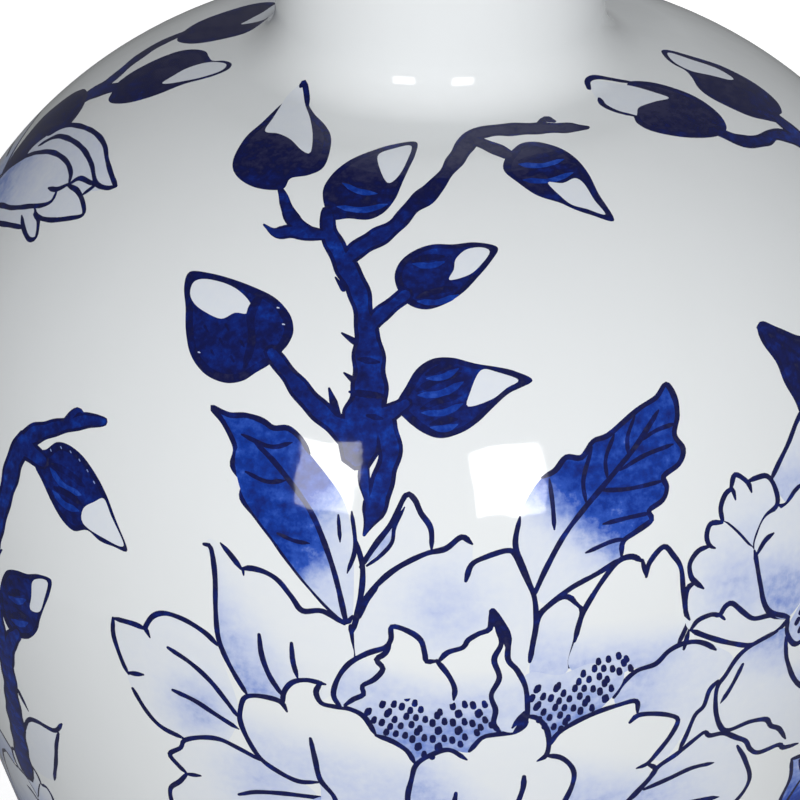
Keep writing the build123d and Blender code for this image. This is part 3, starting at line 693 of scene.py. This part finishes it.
def turned_flower(pen):
    """A flower seen from the side, its petals sweeping to the right, with a heavy leaf behind it."""
    for root, heading, length, width, lobes in (((-62, 72), 196, 30, 26, 3), ((-60, 68), 232, 30, 26, 3),
            ((-56, 66), 270, 26, 26, 3), ((-50, 68), 308, 22, 20, 2)):
        lobed(pen, root, heading, length, width, lobes, 0.24)
    shade_leaf = [(-70, 84), (-66, 92), (-60, 97), (-52, 99), (-46, 96.6), (-44, 90), (-46, 82), (-54, 74),
        (-64, 74)]
    area(pen, shade_leaf, 0.96)
    # the dark leaf's outline in slate grey, partly a painted reflection on the glaze
    ink(pen, shade_leaf + shade_leaf[:1], 1.4, HEAVY_SHEEN)
    ink(pen, [(-64, 80), (-56, 88), (-49, 93)], 1.2, HEAVY_SHEEN)
    far = [(-5, 94.6), (-8, 95.6), (-15, 98), (-21, 100), (-28, 100), (-36, 98), (-45, 94), (-51, 88),
        (-54, 82), (-48, 80), (-30, 84), (-12, 90), (-8, 92.8)]
    petal(pen, far, [far[:8], [(-5, 94.6), (-7.4, 93), (-12, 92.4), (-19, 94.8), (-27, 95.5), (-36, 94),
        (-45, 90.6), (-51, 85)]], value=0.1)
    small = [(-21, 87.6), (-19, 90.6), (-14, 91.6), (-12, 92.2), (-11.4, 90.4), (-13.4, 88)]
    petal(pen, small, [small[:3] + [(-11.6, 92.2)], [(-11.4, 92.4), (-13.4, 88)]], value=0.1)
    front = [(-8, 84.8), (-11, 87), (-16, 88.2), (-21, 87.6), (-24, 85), (-26, 82), (-28, 78.4),
        (-24, 77.4), (-18, 79), (-12, 82)]
    petal(pen, front, [front[3::-1] + front[9:6:-1] + [(-28, 78)]], value=0.07)
    low = [(-29, 78), (-26, 77.2), (-22.4, 77), (-19, 74), (-21, 72.4), (-27, 73), (-33, 71), (-40, 68.5),
        (-48, 66), (-56, 64), (-60, 70), (-44, 78)]
    petal(pen, low, [low[1:5] + [(-26, 73), (-31, 74.5)], low[5:10] + [(-60, 67)]], value=0.08)
    near = [(-21, 88), (-24, 90), (-30, 90.6), (-38, 89), (-45, 86), (-53, 81), (-60, 74), (-62, 68),
        (-56, 67), (-45, 71), (-38, 73.5), (-30, 77.5), (-25, 80), (-22.5, 82.4), (-24, 85)]
    petal(pen, near, [near[:8], [(-21, 88), (-24, 85), (-28, 83.6)], [(-23.6, 84.8)] + near[13:6:-1]],
        value=fade((-58, 72), (-34, 84), 0.26, 0.1))


def edge_leaves(pen):
    """Two dark leaves behind the smaller flower."""
    upper = [(0.6, 66.4), (2.6, 66.8), (6, 64.2), (11, 60.6), (18, 57.6), (25, 52), (30, 44), (31, 35),
        (27, 29), (20, 30), (12, 35), (6, 42), (4.4, 48), (3, 53), (2.6, 58), (0.8, 62.6)]
    area(pen, upper, fade((12, 54), (26, 33), 0.86, 0.3))
    ink(pen, upper + upper[:1])
    for vein in ([(3, 64), (10, 56), (18, 46), (25, 34)], [(9, 57), (13, 57.4), (18, 56)],
            [(15, 49), (20, 50), (25, 50)], [(8, 57.6), (7, 51), (8, 43)], [(14, 51), (13, 45), (14, 38)]):
        ink(pen, vein, 1.1, INK, 0.5, 0.4)
    lower = [(3, -43.6), (8, -44.6), (14, -49), (19, -57), (21, -68), (19, -80), (12, -73), (6, -65),
        (3, -57), (4.4, -50)]
    area(pen, lower, fade((9, -48), (16, -66), 0.3, 0.8))
    ink(pen, lower + lower[:1])
    for vein in ([(6, -45), (11, -55), (15, -65), (18.6, -77)], [(11, -55), (16, -58), (19, -62)],
            [(9, -52), (6, -57), (5, -61)], [(13.6, -62), (10, -67)]):
        ink(pen, vein, 1.1, INK, 0.5, 0.4)


BUD_OPEN = (
    [(-35, 121), (-33.5, 124.6), (-30, 127.6), (-28.4, 131), (-25, 133), (-22, 136), (-17, 136),
     (-12.6, 137), (-10.4, 134), (-10, 130), (-11, 125), (-13, 119), (-16, 114), (-20, 111), (-25, 111),
     (-30, 113.5), (-33.5, 117)],
    [(-30, 127), (-29.4, 131), (-27.4, 135), (-23.6, 139.6), (-20, 142.6), (-16.6, 141), (-14.6, 136),
     (-15.2, 130), (-16.4, 126.4), (-20, 128), (-25, 129)],
)
BUD_UPRIGHT = (
    [(-10, 114), (-9.5, 119), (-7, 122.6), (-2, 125.4), (1, 127.4), (3, 130.4), (6, 132.6), (9.6, 133.4),
     (11.2, 131), (10.2, 124), (10.4, 118), (9.6, 110), (7, 104.6), (3, 102.6), (0, 103), (-3, 102),
     (-6, 105), (-9, 109)],
    [(1.4, 125.6), (4, 130), (8, 132), (9.6, 131), (8, 125), (7.6, 119.6), (6, 116), (4, 117), (2.4, 121)],
)
BUD_SHORT = (
    [(-9, 120), (-9, 126), (-6, 130), (-2, 131), (1, 131.8), (2.4, 134.4), (5, 135.8), (8, 134.4),
     (10.2, 130), (11.2, 124), (12, 117), (10, 111), (6, 107), (2, 105.6), (-2, 107), (-5, 108),
     (-7.4, 112)],
    [(1.4, 130), (2.6, 133), (5, 134.6), (8, 132.6), (9.6, 127), (9.2, 122), (7, 119), (5, 122),
     (2.4, 126)],
)


def forked_twig(pen):
    """Two upright buds on a fork, on the shoulder."""
    bud(pen, *BUD_OPEN)
    ink(pen, [(-30, 127), (-29.8, 131), (-28, 134.8), (-24.8, 137.6)], 1.3)
    ink(pen, [(-22.6, 141.2), (-20, 143.2), (-16.8, 142.8), (-14, 140), (-12.4, 136)], 1.5)
    bud(pen, *BUD_UPRIGHT)
    wood(pen, [(-23, 112, 4), (-21.4, 106.6, 4.6), (-16, 103.2, 4), (-11, 102.2, 4), (-7, 99, 5),
        (-4, 94, 6.4)], 1, 1)
    wood(pen, [(-2, 103.4, 5), (-3, 97, 6), (-3.4, 90, 6.6), (-1, 84, 6.4)], 1, 0.7)
    finish_wood()


def side_twig(pen):
    """Two buds that lean left over a stem, on the other shoulder."""
    bud(pen, *BUD_SHORT)
    bud(pen, [(-38, 131), (-37, 135), (-33, 138), (-27, 141.4), (-20, 144), (-16.6, 142.6), (-13.6, 140),
        (-12, 136), (-11.6, 130), (-13, 125.4), (-17, 122), (-22, 121.6), (-28, 123), (-34, 127)],
        [(-34, 137), (-28, 137.4), (-23, 136.4), (-20.4, 135.6), (-19.8, 139), (-18.6, 142.2), (-21, 142.8),
        (-27, 140.4)])
    wood(pen, [(-22, 123, 4.4), (-19, 115.6, 5), (-13, 109.4, 4.6), (-9.4, 105, 6), (-9, 98, 6.6),
        (-9, 88, 7)], 1, 1)
    wood(pen, [(-3, 108, 4), (-6.6, 103, 5), (-8.6, 98, 5)], 1, 1)
    finish_wood()


def drooping_stem(pen):
    """A stem that rises past a small bud, then bends over with another bud hanging from it."""
    hanging = [(5, 32), (9, 33.4), (12, 36.2), (16, 36.8), (21, 35.6), (26, 32.6), (30, 29), (33.4, 24.6),
        (38, 18), (34, 17.8), (30, 18), (26, 19.4), (22, 18), (18, 19.4), (14, 22.4), (10, 26), (6.6, 28.6)]
    bud(pen, hanging, [(24.6, 20.6), (24, 24), (27, 26.6), (29.4, 28), (32, 25), (36.8, 18.8), (31, 19)],
        [((12, 31), (23, 28)), ((14, 26), (23, 24))])
    for x, y in ((10.6, 34), (13.6, 35.6), (16.8, 35.6), (20, 34.6), (23, 33), (25.6, 31)):
        sweep(pen, [(x, y, 0.9), (x + 0.4, y - 0.3, 0.9)], 0.3)
    knot = [(-3.6, -4), (-1, 0), (3, 1.6), (7, 2.2), (11, 3.6), (15.6, 3.8), (15, 0), (13, -4), (11, -8),
        (9.5, -11.5), (6, -15), (2, -16.6), (-1, -17), (-4, -14), (-5, -9)]
    bud(pen, knot, [(9, 1), (12, 2.8), (14.4, 2.6), (13, -2), (11, -6), (7.6, -6.6), (8.4, -3)],
        [((-1, -6), (6, -4)), ((-1, -12), (6, -10))])
    wood(pen, [(-14, -62, 8), (-10.6, -48, 8), (-8.4, -38, 7.2), (-7, -30, 6.6), (-7, -18, 6.4),
        (-7.6, -6, 6), (-6, 6, 5.4), (-3.4, 14, 5.4), (-1.8, 22, 6), (-0.4, 29, 6.6), (2.4, 34, 5.6),
        (8, 37.8, 4.2), (14, 41, 4), (19, 43.6, 4), (24, 44.8, 3)], 1, 0.7)
    wood(pen, [(1, 32, 6), (6, 31, 5), (9, 30.6, 4)], 1, 1)
    wood(pen, [(-5.6, -26, 5), (-3, -20, 4.6), (1, -15.6, 4)], 1, 1)
    wood(pen, [(13, 41.6, 3), (15.6, 45, 2.4), (17.4, 45, 1.4)])
    finish_wood()
    for x, y, tip_x, tip_y in ((-4, -34, -1.6, -38.6), (-5.4, 2, -2.8, 4.6)):
        sweep(pen, [(x, y, 2.4), (tip_x, tip_y, 1.2)], INK)


LEAF_HEADING = 55.0  # where broad_leaf points, in degrees, and where its root is
LEAF_ROOT = (22.0, 16.0)


def leaf_at(azimuth, climb, heading, size, mirror=False):
    """A toothed leaf that grows from a point on the vase. Heading is in degrees from the right, upwards."""
    flip = -1.0 if mirror else 1.0
    turn = heading - (180.0 - LEAF_HEADING if mirror else LEAF_HEADING)
    root = np.array([LEAF_ROOT[0] * flip, LEAF_ROOT[1]]) * size
    c, s = cos(radians(turn)), sin(radians(turn))
    x, y = c * root[0] - s * root[1], s * root[0] + c * root[1]
    broad_leaf(Pen(azimuth, -x, climb - y, turn, size, mirror))


STEM_CLIMB = -112.0
STEM_SWING = 9.0
STEM_WAVES = 4
STEM_WIDTH = 3.4
STEM_LEAVES = 16


def stem_climb(azimuth):
    """How high the winding stem is at an azimuth in degrees."""
    return STEM_CLIMB + STEM_SWING * sin(radians(STEM_WAVES * azimuth))


def winding_stem():
    """A leafy stem that winds round the lower part of the vase."""
    for start in range(-180, 180, 90):
        pen = Pen(start + 45)
        points = []
        for step in range(-46, 47, 4):
            climb = stem_climb(start + 45 + step)
            points.append((radians(step) * float(radius_at(climb)), climb, STEM_WIDTH))
        sweep(pen, points, INK, 1, 1)
    for number in range(STEM_LEAVES):
        azimuth = -180 + 360 / STEM_LEAVES * number + 5
        up = number % 2 == 0
        leaf_at(azimuth, stem_climb(azimuth), 38 if up else -42, 0.62 if up else 0.7)


def painting():
    """Everything painted on the vase, back to front."""
    front = Pen(0)
    behind = Pen(181, 0, -3, 2, 1.0, True)
    winding_stem()
    for pen in (behind, front):
        slim_leaf(pen)
        broad_leaf(pen)
        buds_and_twigs(pen)
        peony(pen)
    wood(Pen(66), [(22, 84, 6.4), (18, 74, 6.4), (14, 62, 6.6), (10, 50, 7), (4, 38, 7)], 1, 1)
    finish_wood()
    forked_twig(Pen(80))
    leaf_at(76, 62, 20, 0.72)
    edge_leaves(Pen(42))
    small_flower(Pen(42))
    leaf_at(118, 2, 128, 0.8, True)
    drooping_stem(Pen(122, 0, 30, -4, 0.95))
    small_flower(Pen(114, -12, -56, -6, 0.8))
    side_twig(Pen(-85))
    turned_flower(Pen(-55))
    leaf_at(-122, 44, 60, 0.8)
    leaf_at(-124, 10, 158, 0.8, True)
    wood(Pen(-124), [(-8, -40, 7), (-3, -20, 6.6), (0, 0, 6.4), (1, 22, 6), (4, 44, 5.6), (10, 62, 5)], 1,
        0.8)
    finish_wood()
    petal(Pen(-52), [(-6, -46), (-3, -42), (1, -40.4), (8, -40), (12, -36.4), (9.6, -40.4), (7, -45),
        (5, -50), (1, -58), (-8, -58)], [[(-7, -47), (-3, -42), (1, -40.4), (8, -40), (12, -36.4)],
        [(9.6, -40), (7, -45), (5, -50), (1, -58)]], value=0.05)
    small_flower(Pen(-58, -12, -86, 4, 0.8, True))
    drooping_stem(Pen(-52))
    small_flower(Pen(-118, -10, -52, 6, 0.84, True))


painting()


# ---------------------------------------------------------------- the painted coat as one mesh
COLUMNS = 180
ROW_STEP = 3.2
NECK_ROOT = 132.0  # climb from which the rows are closer, because the profile bends more
NECK_ROWS = 48
BACK_COLUMN_STEP = 2  # the back face keeps every second column, and these rows below and above NECK_ROOT
BACK_ROW_STEP = 3
BACK_NECK_ROW_STEP = 2
GLAZE_DEPTH = 0.5
MERGE_WITHIN = 1e-4
SEAM_WITHIN = 0.001


def sheet_grid():
    """Even points over the unrolled glaze, so that plain areas are smooth too."""
    bottom, top = CLIMB[0], CLIMB[-1]
    rows = np.r_[np.linspace(bottom, NECK_ROOT, int((NECK_ROOT - bottom) / ROW_STEP)),
                 np.linspace(NECK_ROOT, top, NECK_ROWS)[1:]]
    girths = np.linspace(-HALF_GIRTH, HALF_GIRTH, COLUMNS + 1)
    return rows, girths


def cut_sheet():
    """The unrolled glaze cut along every painted edge: points, triangles and their middles."""
    rows, girths = sheet_grid()
    points, edges = [], []
    for layer in layers:
        outline = layer["outline"]
        start = len(points)
        points += outline.tolist()
        edges += [(start + i, start + (i + 1) % len(outline)) for i in range(len(outline))]
    start = len(points)
    points += [(g, r) for r in rows for g in girths]
    wide = len(girths)
    last = start + (len(rows) - 1) * wide
    edges += [(start + i, start + i + 1) for i in range(wide - 1)]
    edges += [(last + i, last + i + 1) for i in range(wide - 1)]
    for side in (0, wide - 1):
        edges += [(start + side + i * wide, start + side + (i + 1) * wide) for i in range(len(rows) - 1)]
    made = delaunay_2d_cdt([Vector(p) for p in points], edges, [], 0, MERGE_WITHIN, False)
    places = np.array([tuple(v) for v in made[0]])
    faces = np.array([f for f in made[2] if len(f) == 3])
    middles = places[faces].mean(1)
    inside = (np.abs(middles[:, 0]) < HALF_GIRTH) & (middles[:, 1] > rows[0]) & (middles[:, 1] < rows[-1])
    return places, faces[inside], middles[inside]


def cobalt_in(places, faces, middles):
    """Cobalt at each corner of each triangle: the last layer painted over it counts."""
    top = np.full(len(faces), -1)
    order = np.argsort(middles[:, 0])
    girths = middles[order, 0]
    for number, layer in enumerate(layers):
        low_corner, high_corner = layer["outline"].min(0), layer["outline"].max(0)
        first, last = np.searchsorted(girths, [low_corner[0], high_corner[0]])
        near = order[first:last]
        near = near[(middles[near, 1] > low_corner[1]) & (middles[near, 1] < high_corner[1])]
        if len(near):
            top[near[winding(layer["outline"], middles[near]) != 0]] = number
    cobalt = np.zeros((len(faces), 3), np.float32)
    for number, layer in enumerate(layers):
        mine = np.nonzero(top == number)[0]
        if len(mine) == 0:
            continue
        if callable(layer["value"]):
            corners = places[faces[mine]].reshape(-1, 2)
            cobalt[mine] = layer["value"](layer["pen"].from_sheet(corners, layer["turns"])).reshape(-1, 3)
        else:
            cobalt[mine] = layer["value"]
    return cobalt


def new_mesh(name, places, faces, normals=None, smooth=True):
    """A mesh object from places in metres."""
    mesh = bpy.data.meshes.new(name)
    mesh.from_pydata(np.asarray(places).tolist(), [], np.asarray(faces).tolist())
    mesh.update()
    mesh.polygons.foreach_set("use_smooth", [smooth] * len(mesh.polygons))
    if normals is not None:
        mesh.normals_split_custom_set_from_vertices([tuple(n) for n in normals])
    piece = bpy.data.objects.new(name, mesh)
    bpy.context.scene.collection.objects.link(piece)
    return piece


def painted_coat():
    """The outer glaze: the painted face outside, a plain face behind it and edges that close the coat."""
    places, faces, middles = cut_sheet()
    cobalt = cobalt_in(places, faces, middles)
    used = np.unique(faces)
    renumber = np.full(len(places), -1)
    renumber[used] = np.arange(len(used))
    places, faces = places[used], renumber[faces]
    left = np.nonzero(np.abs(places[:, 0] + HALF_GIRTH) < SEAM_WITHIN)[0]
    right = np.nonzero(np.abs(places[:, 0] - HALF_GIRTH) < SEAM_WITHIN)[0]
    merged = np.arange(len(places))
    merged[right] = left[np.abs(places[right, 1][:, None] - places[left, 1]).argmin(1)]
    faces = merged[faces]
    keep = (faces[:, 0] != faces[:, 1]) & (faces[:, 1] != faces[:, 2]) & (faces[:, 2] != faces[:, 0])
    faces, cobalt = faces[keep], cobalt[keep]
    outer, outer_normals = on_surface(places[:, 0], places[:, 1])

    rows, girths = sheet_grid()
    below = int((rows < NECK_ROOT).sum())
    back_rows = [*rows[:below:BACK_ROW_STEP], *rows[below:-1:BACK_NECK_ROW_STEP], rows[-1]]
    around = COLUMNS // BACK_COLUMN_STEP
    back_sheet = np.array([(g, r) for r in back_rows for g in girths[:-1:BACK_COLUMN_STEP]])
    back, back_normals = on_surface(back_sheet[:, 0], back_sheet[:, 1], GLAZE_DEPTH)
    offset = len(outer)
    back_faces = []
    for r in range(len(back_rows) - 1):
        for c in range(around):
            a, b = offset + r * around + c, offset + r * around + (c + 1) % around
            back_faces += [(a, a + around, b + around), (a, b + around, b)]
    found = {(round(p[0], 2), round(p[1], 2)): i for i, p in enumerate(places)}
    for row, back_row, inward in ((rows[0], 0, True), (rows[-1], len(back_rows) - 1, False)):
        ring = [merged[found[round(g, 2), round(row, 2)]] for g in girths]
        for c in range(around):
            a, b = offset + back_row * around + c, offset + back_row * around + (c + 1) % around
            first, middle, last = ring[2 * c : 2 * c + 3]
            closing = [(first, a, middle), (a, b, middle), (middle, b, last)]
            back_faces += closing if inward else [f[::-1] for f in closing]
    piece = new_mesh("painted_glaze", np.vstack([outer, back]), np.vstack([faces, np.array(back_faces)]),
                     np.vstack([outer_normals, -back_normals]))
    values = np.r_[cobalt.ravel(), np.zeros(len(back_faces) * 3)].astype(np.float32)
    piece.data.attributes.new("cobalt", "FLOAT", "CORNER").data.foreach_set("value", values)
    return piece


# ---------------------------------------------------------------- materials
def srgb(red, green, blue):
    """A screen colour, each part 0 to 255, as a linear colour."""
    parts = [v / 255 for v in (red, green, blue)]
    return tuple(v / 12.92 if v < 0.04045 else ((v + 0.055) / 1.055) ** 2.4 for v in parts) + (1.0,)


class Shader:
    """A material being wired up round its Principled node."""

    def __init__(self, name, roughness, ior=1.5):
        self.material = bpy.data.materials.new(name)
        self.material.use_nodes = True
        self.tree = self.material.node_tree
        self.surface = self.tree.nodes["Principled BSDF"]
        self.surface.inputs["Roughness"].default_value = roughness
        self.surface.inputs["IOR"].default_value = ior
        self.place = self.add("ShaderNodeTexCoord").outputs["Object"]

    def add(self, kind, **settings):
        node = self.tree.nodes.new(kind)
        for key, value in settings.items():
            setattr(node, key, value)
        return node

    def feed(self, value, socket):
        """Links an output to a socket, or sets a constant on it."""
        if hasattr(value, "is_output"):
            self.tree.links.new(value, socket)
        else:
            socket.default_value = value

    def math(self, operation, *values, clamp=False):
        node = self.add("ShaderNodeMath", operation=operation, use_clamp=clamp)
        for value, socket in zip(values, node.inputs):
            self.feed(value, socket)
        return node.outputs[0]

    def noise(self, scale, detail=3.0, roughness=0.5, stretch=None):
        """Noise from 0 to 1. stretch squeezes its pattern along each axis."""
        node = self.add("ShaderNodeTexNoise")
        place = self.place
        if stretch:
            mapping = self.add("ShaderNodeMapping")
            self.feed(place, mapping.inputs["Vector"])
            mapping.inputs["Scale"].default_value = stretch
            place = mapping.outputs[0]
        self.feed(place, node.inputs["Vector"])
        node.inputs["Scale"].default_value = scale
        node.inputs["Detail"].default_value = detail
        node.inputs["Roughness"].default_value = roughness
        return node.outputs["Fac"]

    def dots(self, scale, size, share):
        """Sparse round spots, 1 inside: about that share of the cells has one."""
        node = self.add("ShaderNodeTexVoronoi")
        self.feed(self.place, node.inputs["Vector"])
        node.inputs["Scale"].default_value = scale
        near = self.math("LESS_THAN", node.outputs["Distance"], size)
        split = self.add("ShaderNodeSeparateColor")
        self.feed(node.outputs["Color"], split.inputs[0])
        return self.math("MULTIPLY", near, self.math("LESS_THAN", split.outputs[0], share))

    def ramp(self, value, stops):
        """Colours by value: stops are (place, colour)."""
        node = self.add("ShaderNodeValToRGB")
        self.feed(value, node.inputs[0])
        marks = node.color_ramp.elements
        while len(marks) < len(stops):
            marks.new(0.5)
        for mark, (place, colour) in zip(marks, stops):
            mark.position = place
            mark.color = colour
        return node.outputs["Color"]

    def mix(self, share, first, second):
        node = self.add("ShaderNodeMix", data_type="RGBA")
        colours = [s for s in node.inputs if s.type == "RGBA"]
        self.feed(share, node.inputs[0])
        self.feed(first, colours[0])
        self.feed(second, colours[1])
        return [s for s in node.outputs if s.type == "RGBA"][0]

    def bump(self, height, distance, strength=1.0):
        node = self.add("ShaderNodeBump")
        node.inputs["Distance"].default_value = distance
        node.inputs["Strength"].default_value = strength
        self.feed(height, node.inputs["Height"])
        self.feed(node.outputs[0], self.surface.inputs["Normal"])

    def colour(self, value):
        self.feed(value, self.surface.inputs["Base Color"])
        return self.material


GLAZE_WHITE = srgb(220, 223, 224)
GLAZE_SHADE = srgb(214, 217, 219)
GLAZE_SHINE = 0.25
RING_WIDTH = 0.0022
SPECK = srgb(120, 112, 104)
IRON_SPECK = srgb(150, 118, 84)
COBALT_RANGE = 1.25
COBALT_STOPS = [
    (0.00, srgb(220, 223, 224)),
    (0.08, srgb(207, 213, 224)),
    (0.18, srgb(184, 194, 221)),
    (0.31, srgb(116, 138, 200)),
    (0.44, srgb(36, 76, 172)),
    (0.57, srgb(0, 48, 142)),
    (0.70, srgb(0, 28, 108)),
    (0.85, srgb(0, 14, 80)),
    (1.00, srgb(0, 6, 62)),
    # slate grey above full cobalt: a painted reflection of the room on the glaze over heavy paint
    (1.25, srgb(34, 35, 72)),
]


def glaze_waves(shader):
    """The slight unevenness of a dipped glaze, with the low ring where the body's halves were luted."""
    slow = shader.noise(28.0, 2.0)
    quick = shader.noise(140.0, 2.0)
    waves = shader.math("ADD", slow, shader.math("MULTIPLY", quick, 0.12))
    split = shader.add("ShaderNodeSeparateXYZ")
    shader.feed(shader.place, split.inputs[0])
    off = shader.math("SUBTRACT", split.outputs["Z"], WIDEST_Z * MM)
    near = shader.math("DIVIDE", off, RING_WIDTH)
    ring = shader.math("DIVIDE", 1.0, shader.math("ADD", 1.0, shader.math("MULTIPLY", near, near)))
    pits = shader.dots(190.0, 0.055, 0.05)
    waves = shader.math("ADD", waves, shader.math("MULTIPLY", ring, 0.25))
    waves = shader.math("SUBTRACT", waves, shader.math("MULTIPLY", pits, 0.06))
    shader.bump(waves, 0.0004)


def painted_material():
    """Glaze over the painting: the mesh's cobalt, pooled and brushed unevenly, coloured by its strength."""
    shader = Shader("painted_glaze", 0.045)
    shader.surface.inputs["Specular IOR Level"].default_value = GLAZE_SHINE
    brushed_on = shader.add("ShaderNodeAttribute", attribute_name="cobalt").outputs["Fac"]
    pooled = shader.noise(480.0, 4.0, 0.62)
    brushed = shader.noise(140.0, 2.0, 0.5, (1.0, 1.0, 2.6))
    uneven = shader.math("ADD", shader.math("MULTIPLY", pooled, 0.95), shader.math("MULTIPLY", brushed, 0.6))
    strength = shader.math("ADD", uneven, 0.22)
    cobalt = shader.math("MULTIPLY", brushed_on, strength)
    cobalt = shader.math("DIVIDE", cobalt, COBALT_RANGE, clamp=True)
    painted = shader.ramp(cobalt, [(place / COBALT_RANGE, colour) for place, colour in COBALT_STOPS])
    specks = shader.dots(95.0, 0.05, 0.03)
    shader.colour(shader.mix(specks, painted, SPECK))
    glaze_waves(shader)
    return shader.material


def clear_material():
    """The plain glaze of the inside and the foot recess."""
    shader = Shader("clear_glaze", 0.07)
    shader.surface.inputs["Specular IOR Level"].default_value = GLAZE_SHINE
    shader.colour(shader.ramp(shader.noise(18.0, 2.0), [(0.3, GLAZE_SHADE), (0.7, GLAZE_WHITE)]))
    glaze_waves(shader)
    return shader.material


def clay_material(name, pale, deep, roughness):
    """Fired porcelain without glaze: a matt body with fine grain, uneven patches and a few iron specks."""
    shader = Shader(name, roughness)
    grain = shader.noise(900.0, 3.0)
    patches = shader.noise(40.0, 3.0)
    body = shader.ramp(patches, [(0.3, deep), (0.7, pale)])
    shader.colour(shader.mix(shader.dots(300.0, 0.09, 0.06), body, IRON_SPECK))
    shader.bump(grain, 0.0001, 0.6)
    return shader.material


painted = painted_material()
clear = clear_material()
clay = clay_material("porcelain_clay", srgb(232, 229, 222), srgb(224, 219, 209), 0.62)
foot = clay_material("bare_foot", srgb(226, 208, 180), srgb(206, 176, 138), 0.7)
slip = clay_material("slip", srgb(228, 226, 220), srgb(220, 216, 208), 0.66)

coat = painted_coat()
coat.data.materials.append(painted)
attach(coat, "root")
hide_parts("outer_glaze")

FINISHES = {
    "inner_glaze": clear,
    "base_glaze": clear,
    "foot_ring": foot,
    "lower_body": clay,
    "upper_body": clay,
    "neck_collar": clay,
    "mouth_rim": clay,
    "base_disc": clay,
    "base_slip_joint": slip,
    "waist_slip_joint": slip,
    "neck_slip_joint": slip,
    "lip_slip_joint": slip,
    "foot_slip_joint": slip,
}
for node, finish in FINISHES.items():
    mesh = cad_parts[node].data
    mesh.materials.clear()
    mesh.materials.append(finish)

# ---------------------------------------------------------------- floor, light and camera
CAMERA_HEIGHT_ANGLE = radians(25.0)
CAMERA_DISTANCE = 1.6
CAMERA_LENS = 300.5
AIM_RIGHT = -9.4 * MM
AIM_UP = 7.5 * MM
KEY_LEFT, KEY_RIGHT = -24, 15  # azimuths, in degrees
KEY_ELEVATION = 17.6
KEY_DISTANCE = 2.0
KEY_SIZE = (0.48, 0.59)
GLEAM_POWER = 36.0
FLOOR_HALF = 6
FLOOR_GLOW = 0.5
ROOM_FRONT = 0.66
ROOM_BACK = 0.12
ROOM_TURN = radians(24)

floor_corners = [(x * FLOOR_HALF, y * FLOOR_HALF, 0) for x, y in ((-1, -1), (1, -1), (1, 1), (-1, 1))]
floor_mesh = new_mesh("floor", floor_corners, [(0, 1, 2, 3)], smooth=False)
floor_look = Shader("floor", 0.9)
floor_look.colour(srgb(246, 246, 246))
floor_look.surface.inputs["Specular IOR Level"].default_value = 0.0
floor_look.surface.inputs["Emission Color"].default_value = (1, 1, 1, 1)
floor_look.surface.inputs["Emission Strength"].default_value = FLOOR_GLOW
floor_mesh.data.materials.append(floor_look.material)
floor_mesh.visible_diffuse = False
floor_mesh.visible_glossy = False

centre = Vector((0, 0, WIDEST_Z * MM))
camera_data = bpy.data.cameras.new("camera")
camera_data.lens = CAMERA_LENS
camera_data.clip_start = 0.05
camera = bpy.data.objects.new("camera", camera_data)
bpy.context.scene.collection.objects.link(camera)
backward = Vector((0, -cos(CAMERA_HEIGHT_ANGLE), sin(CAMERA_HEIGHT_ANGLE)))
camera.location = centre + CAMERA_DISTANCE * backward
camera_up = Vector((0, sin(CAMERA_HEIGHT_ANGLE), cos(CAMERA_HEIGHT_ANGLE)))
aim = centre + AIM_UP * camera_up + Vector((AIM_RIGHT, 0, 0))
camera.rotation_euler = (aim - camera.location).to_track_quat("-Z", "Y").to_euler()
bpy.context.scene.camera = camera


def softbox(name, azimuth, elevation, distance, size, power):
    """A soft light facing the vase. Azimuth is from the camera's side, positive to the right."""
    data = bpy.data.lights.new(name, "AREA")
    data.shape = "RECTANGLE"
    data.size, data.size_y = size
    data.energy = power
    light = bpy.data.objects.new(name, data)
    a, e = radians(azimuth), radians(elevation)
    outward = Vector((sin(a) * cos(e), -cos(a) * cos(e), sin(e)))
    light.location = centre + distance * outward
    light.rotation_euler = (-outward).to_track_quat("-Z", "Y").to_euler()
    bpy.context.scene.collection.objects.link(light)
    return light


softbox("softbox_left", KEY_LEFT, KEY_ELEVATION, KEY_DISTANCE, KEY_SIZE, 11.7)
softbox("softbox_right", KEY_RIGHT, KEY_ELEVATION, KEY_DISTANCE, KEY_SIZE, 13.6)
# the softboxes' own reflections, brighter than the light they throw
for name, azimuth in (("gleam_left", KEY_LEFT), ("gleam_right", KEY_RIGHT)):
    gleam = softbox(name, azimuth, KEY_ELEVATION, KEY_DISTANCE, KEY_SIZE, GLEAM_POWER)
    gleam.visible_diffuse = False
back_fill = softbox("back_fill", 180, 10, 3.0, (1.6, 1.6), 42.0)
back_fill.visible_glossy = False

# a grey room, lighter on the camera's side
world = bpy.data.worlds.new("studio")
bpy.context.scene.world = world
world.use_nodes = True
nodes, links = world.node_tree.nodes, world.node_tree.links
room = nodes["Background"]
facing = nodes.new("ShaderNodeVectorMath")
facing.operation = "DOT_PRODUCT"
links.new(nodes.new("ShaderNodeTexCoord").outputs["Generated"], facing.inputs[0])
facing.inputs[1].default_value = (sin(ROOM_TURN), -cos(ROOM_TURN), 0)
lightness = nodes.new("ShaderNodeMapRange")
links.new(facing.outputs["Value"], lightness.inputs["Value"])
lightness.inputs["From Min"].default_value = -1.0
lightness.inputs["From Max"].default_value = 1.0
lightness.inputs["To Min"].default_value = ROOM_BACK
lightness.inputs["To Max"].default_value = ROOM_FRONT
links.new(lightness.outputs["Result"], room.inputs["Strength"])
room.inputs["Color"].default_value = srgb(250, 251, 253)
bpy.context.scene.view_settings.view_transform = "Standard"
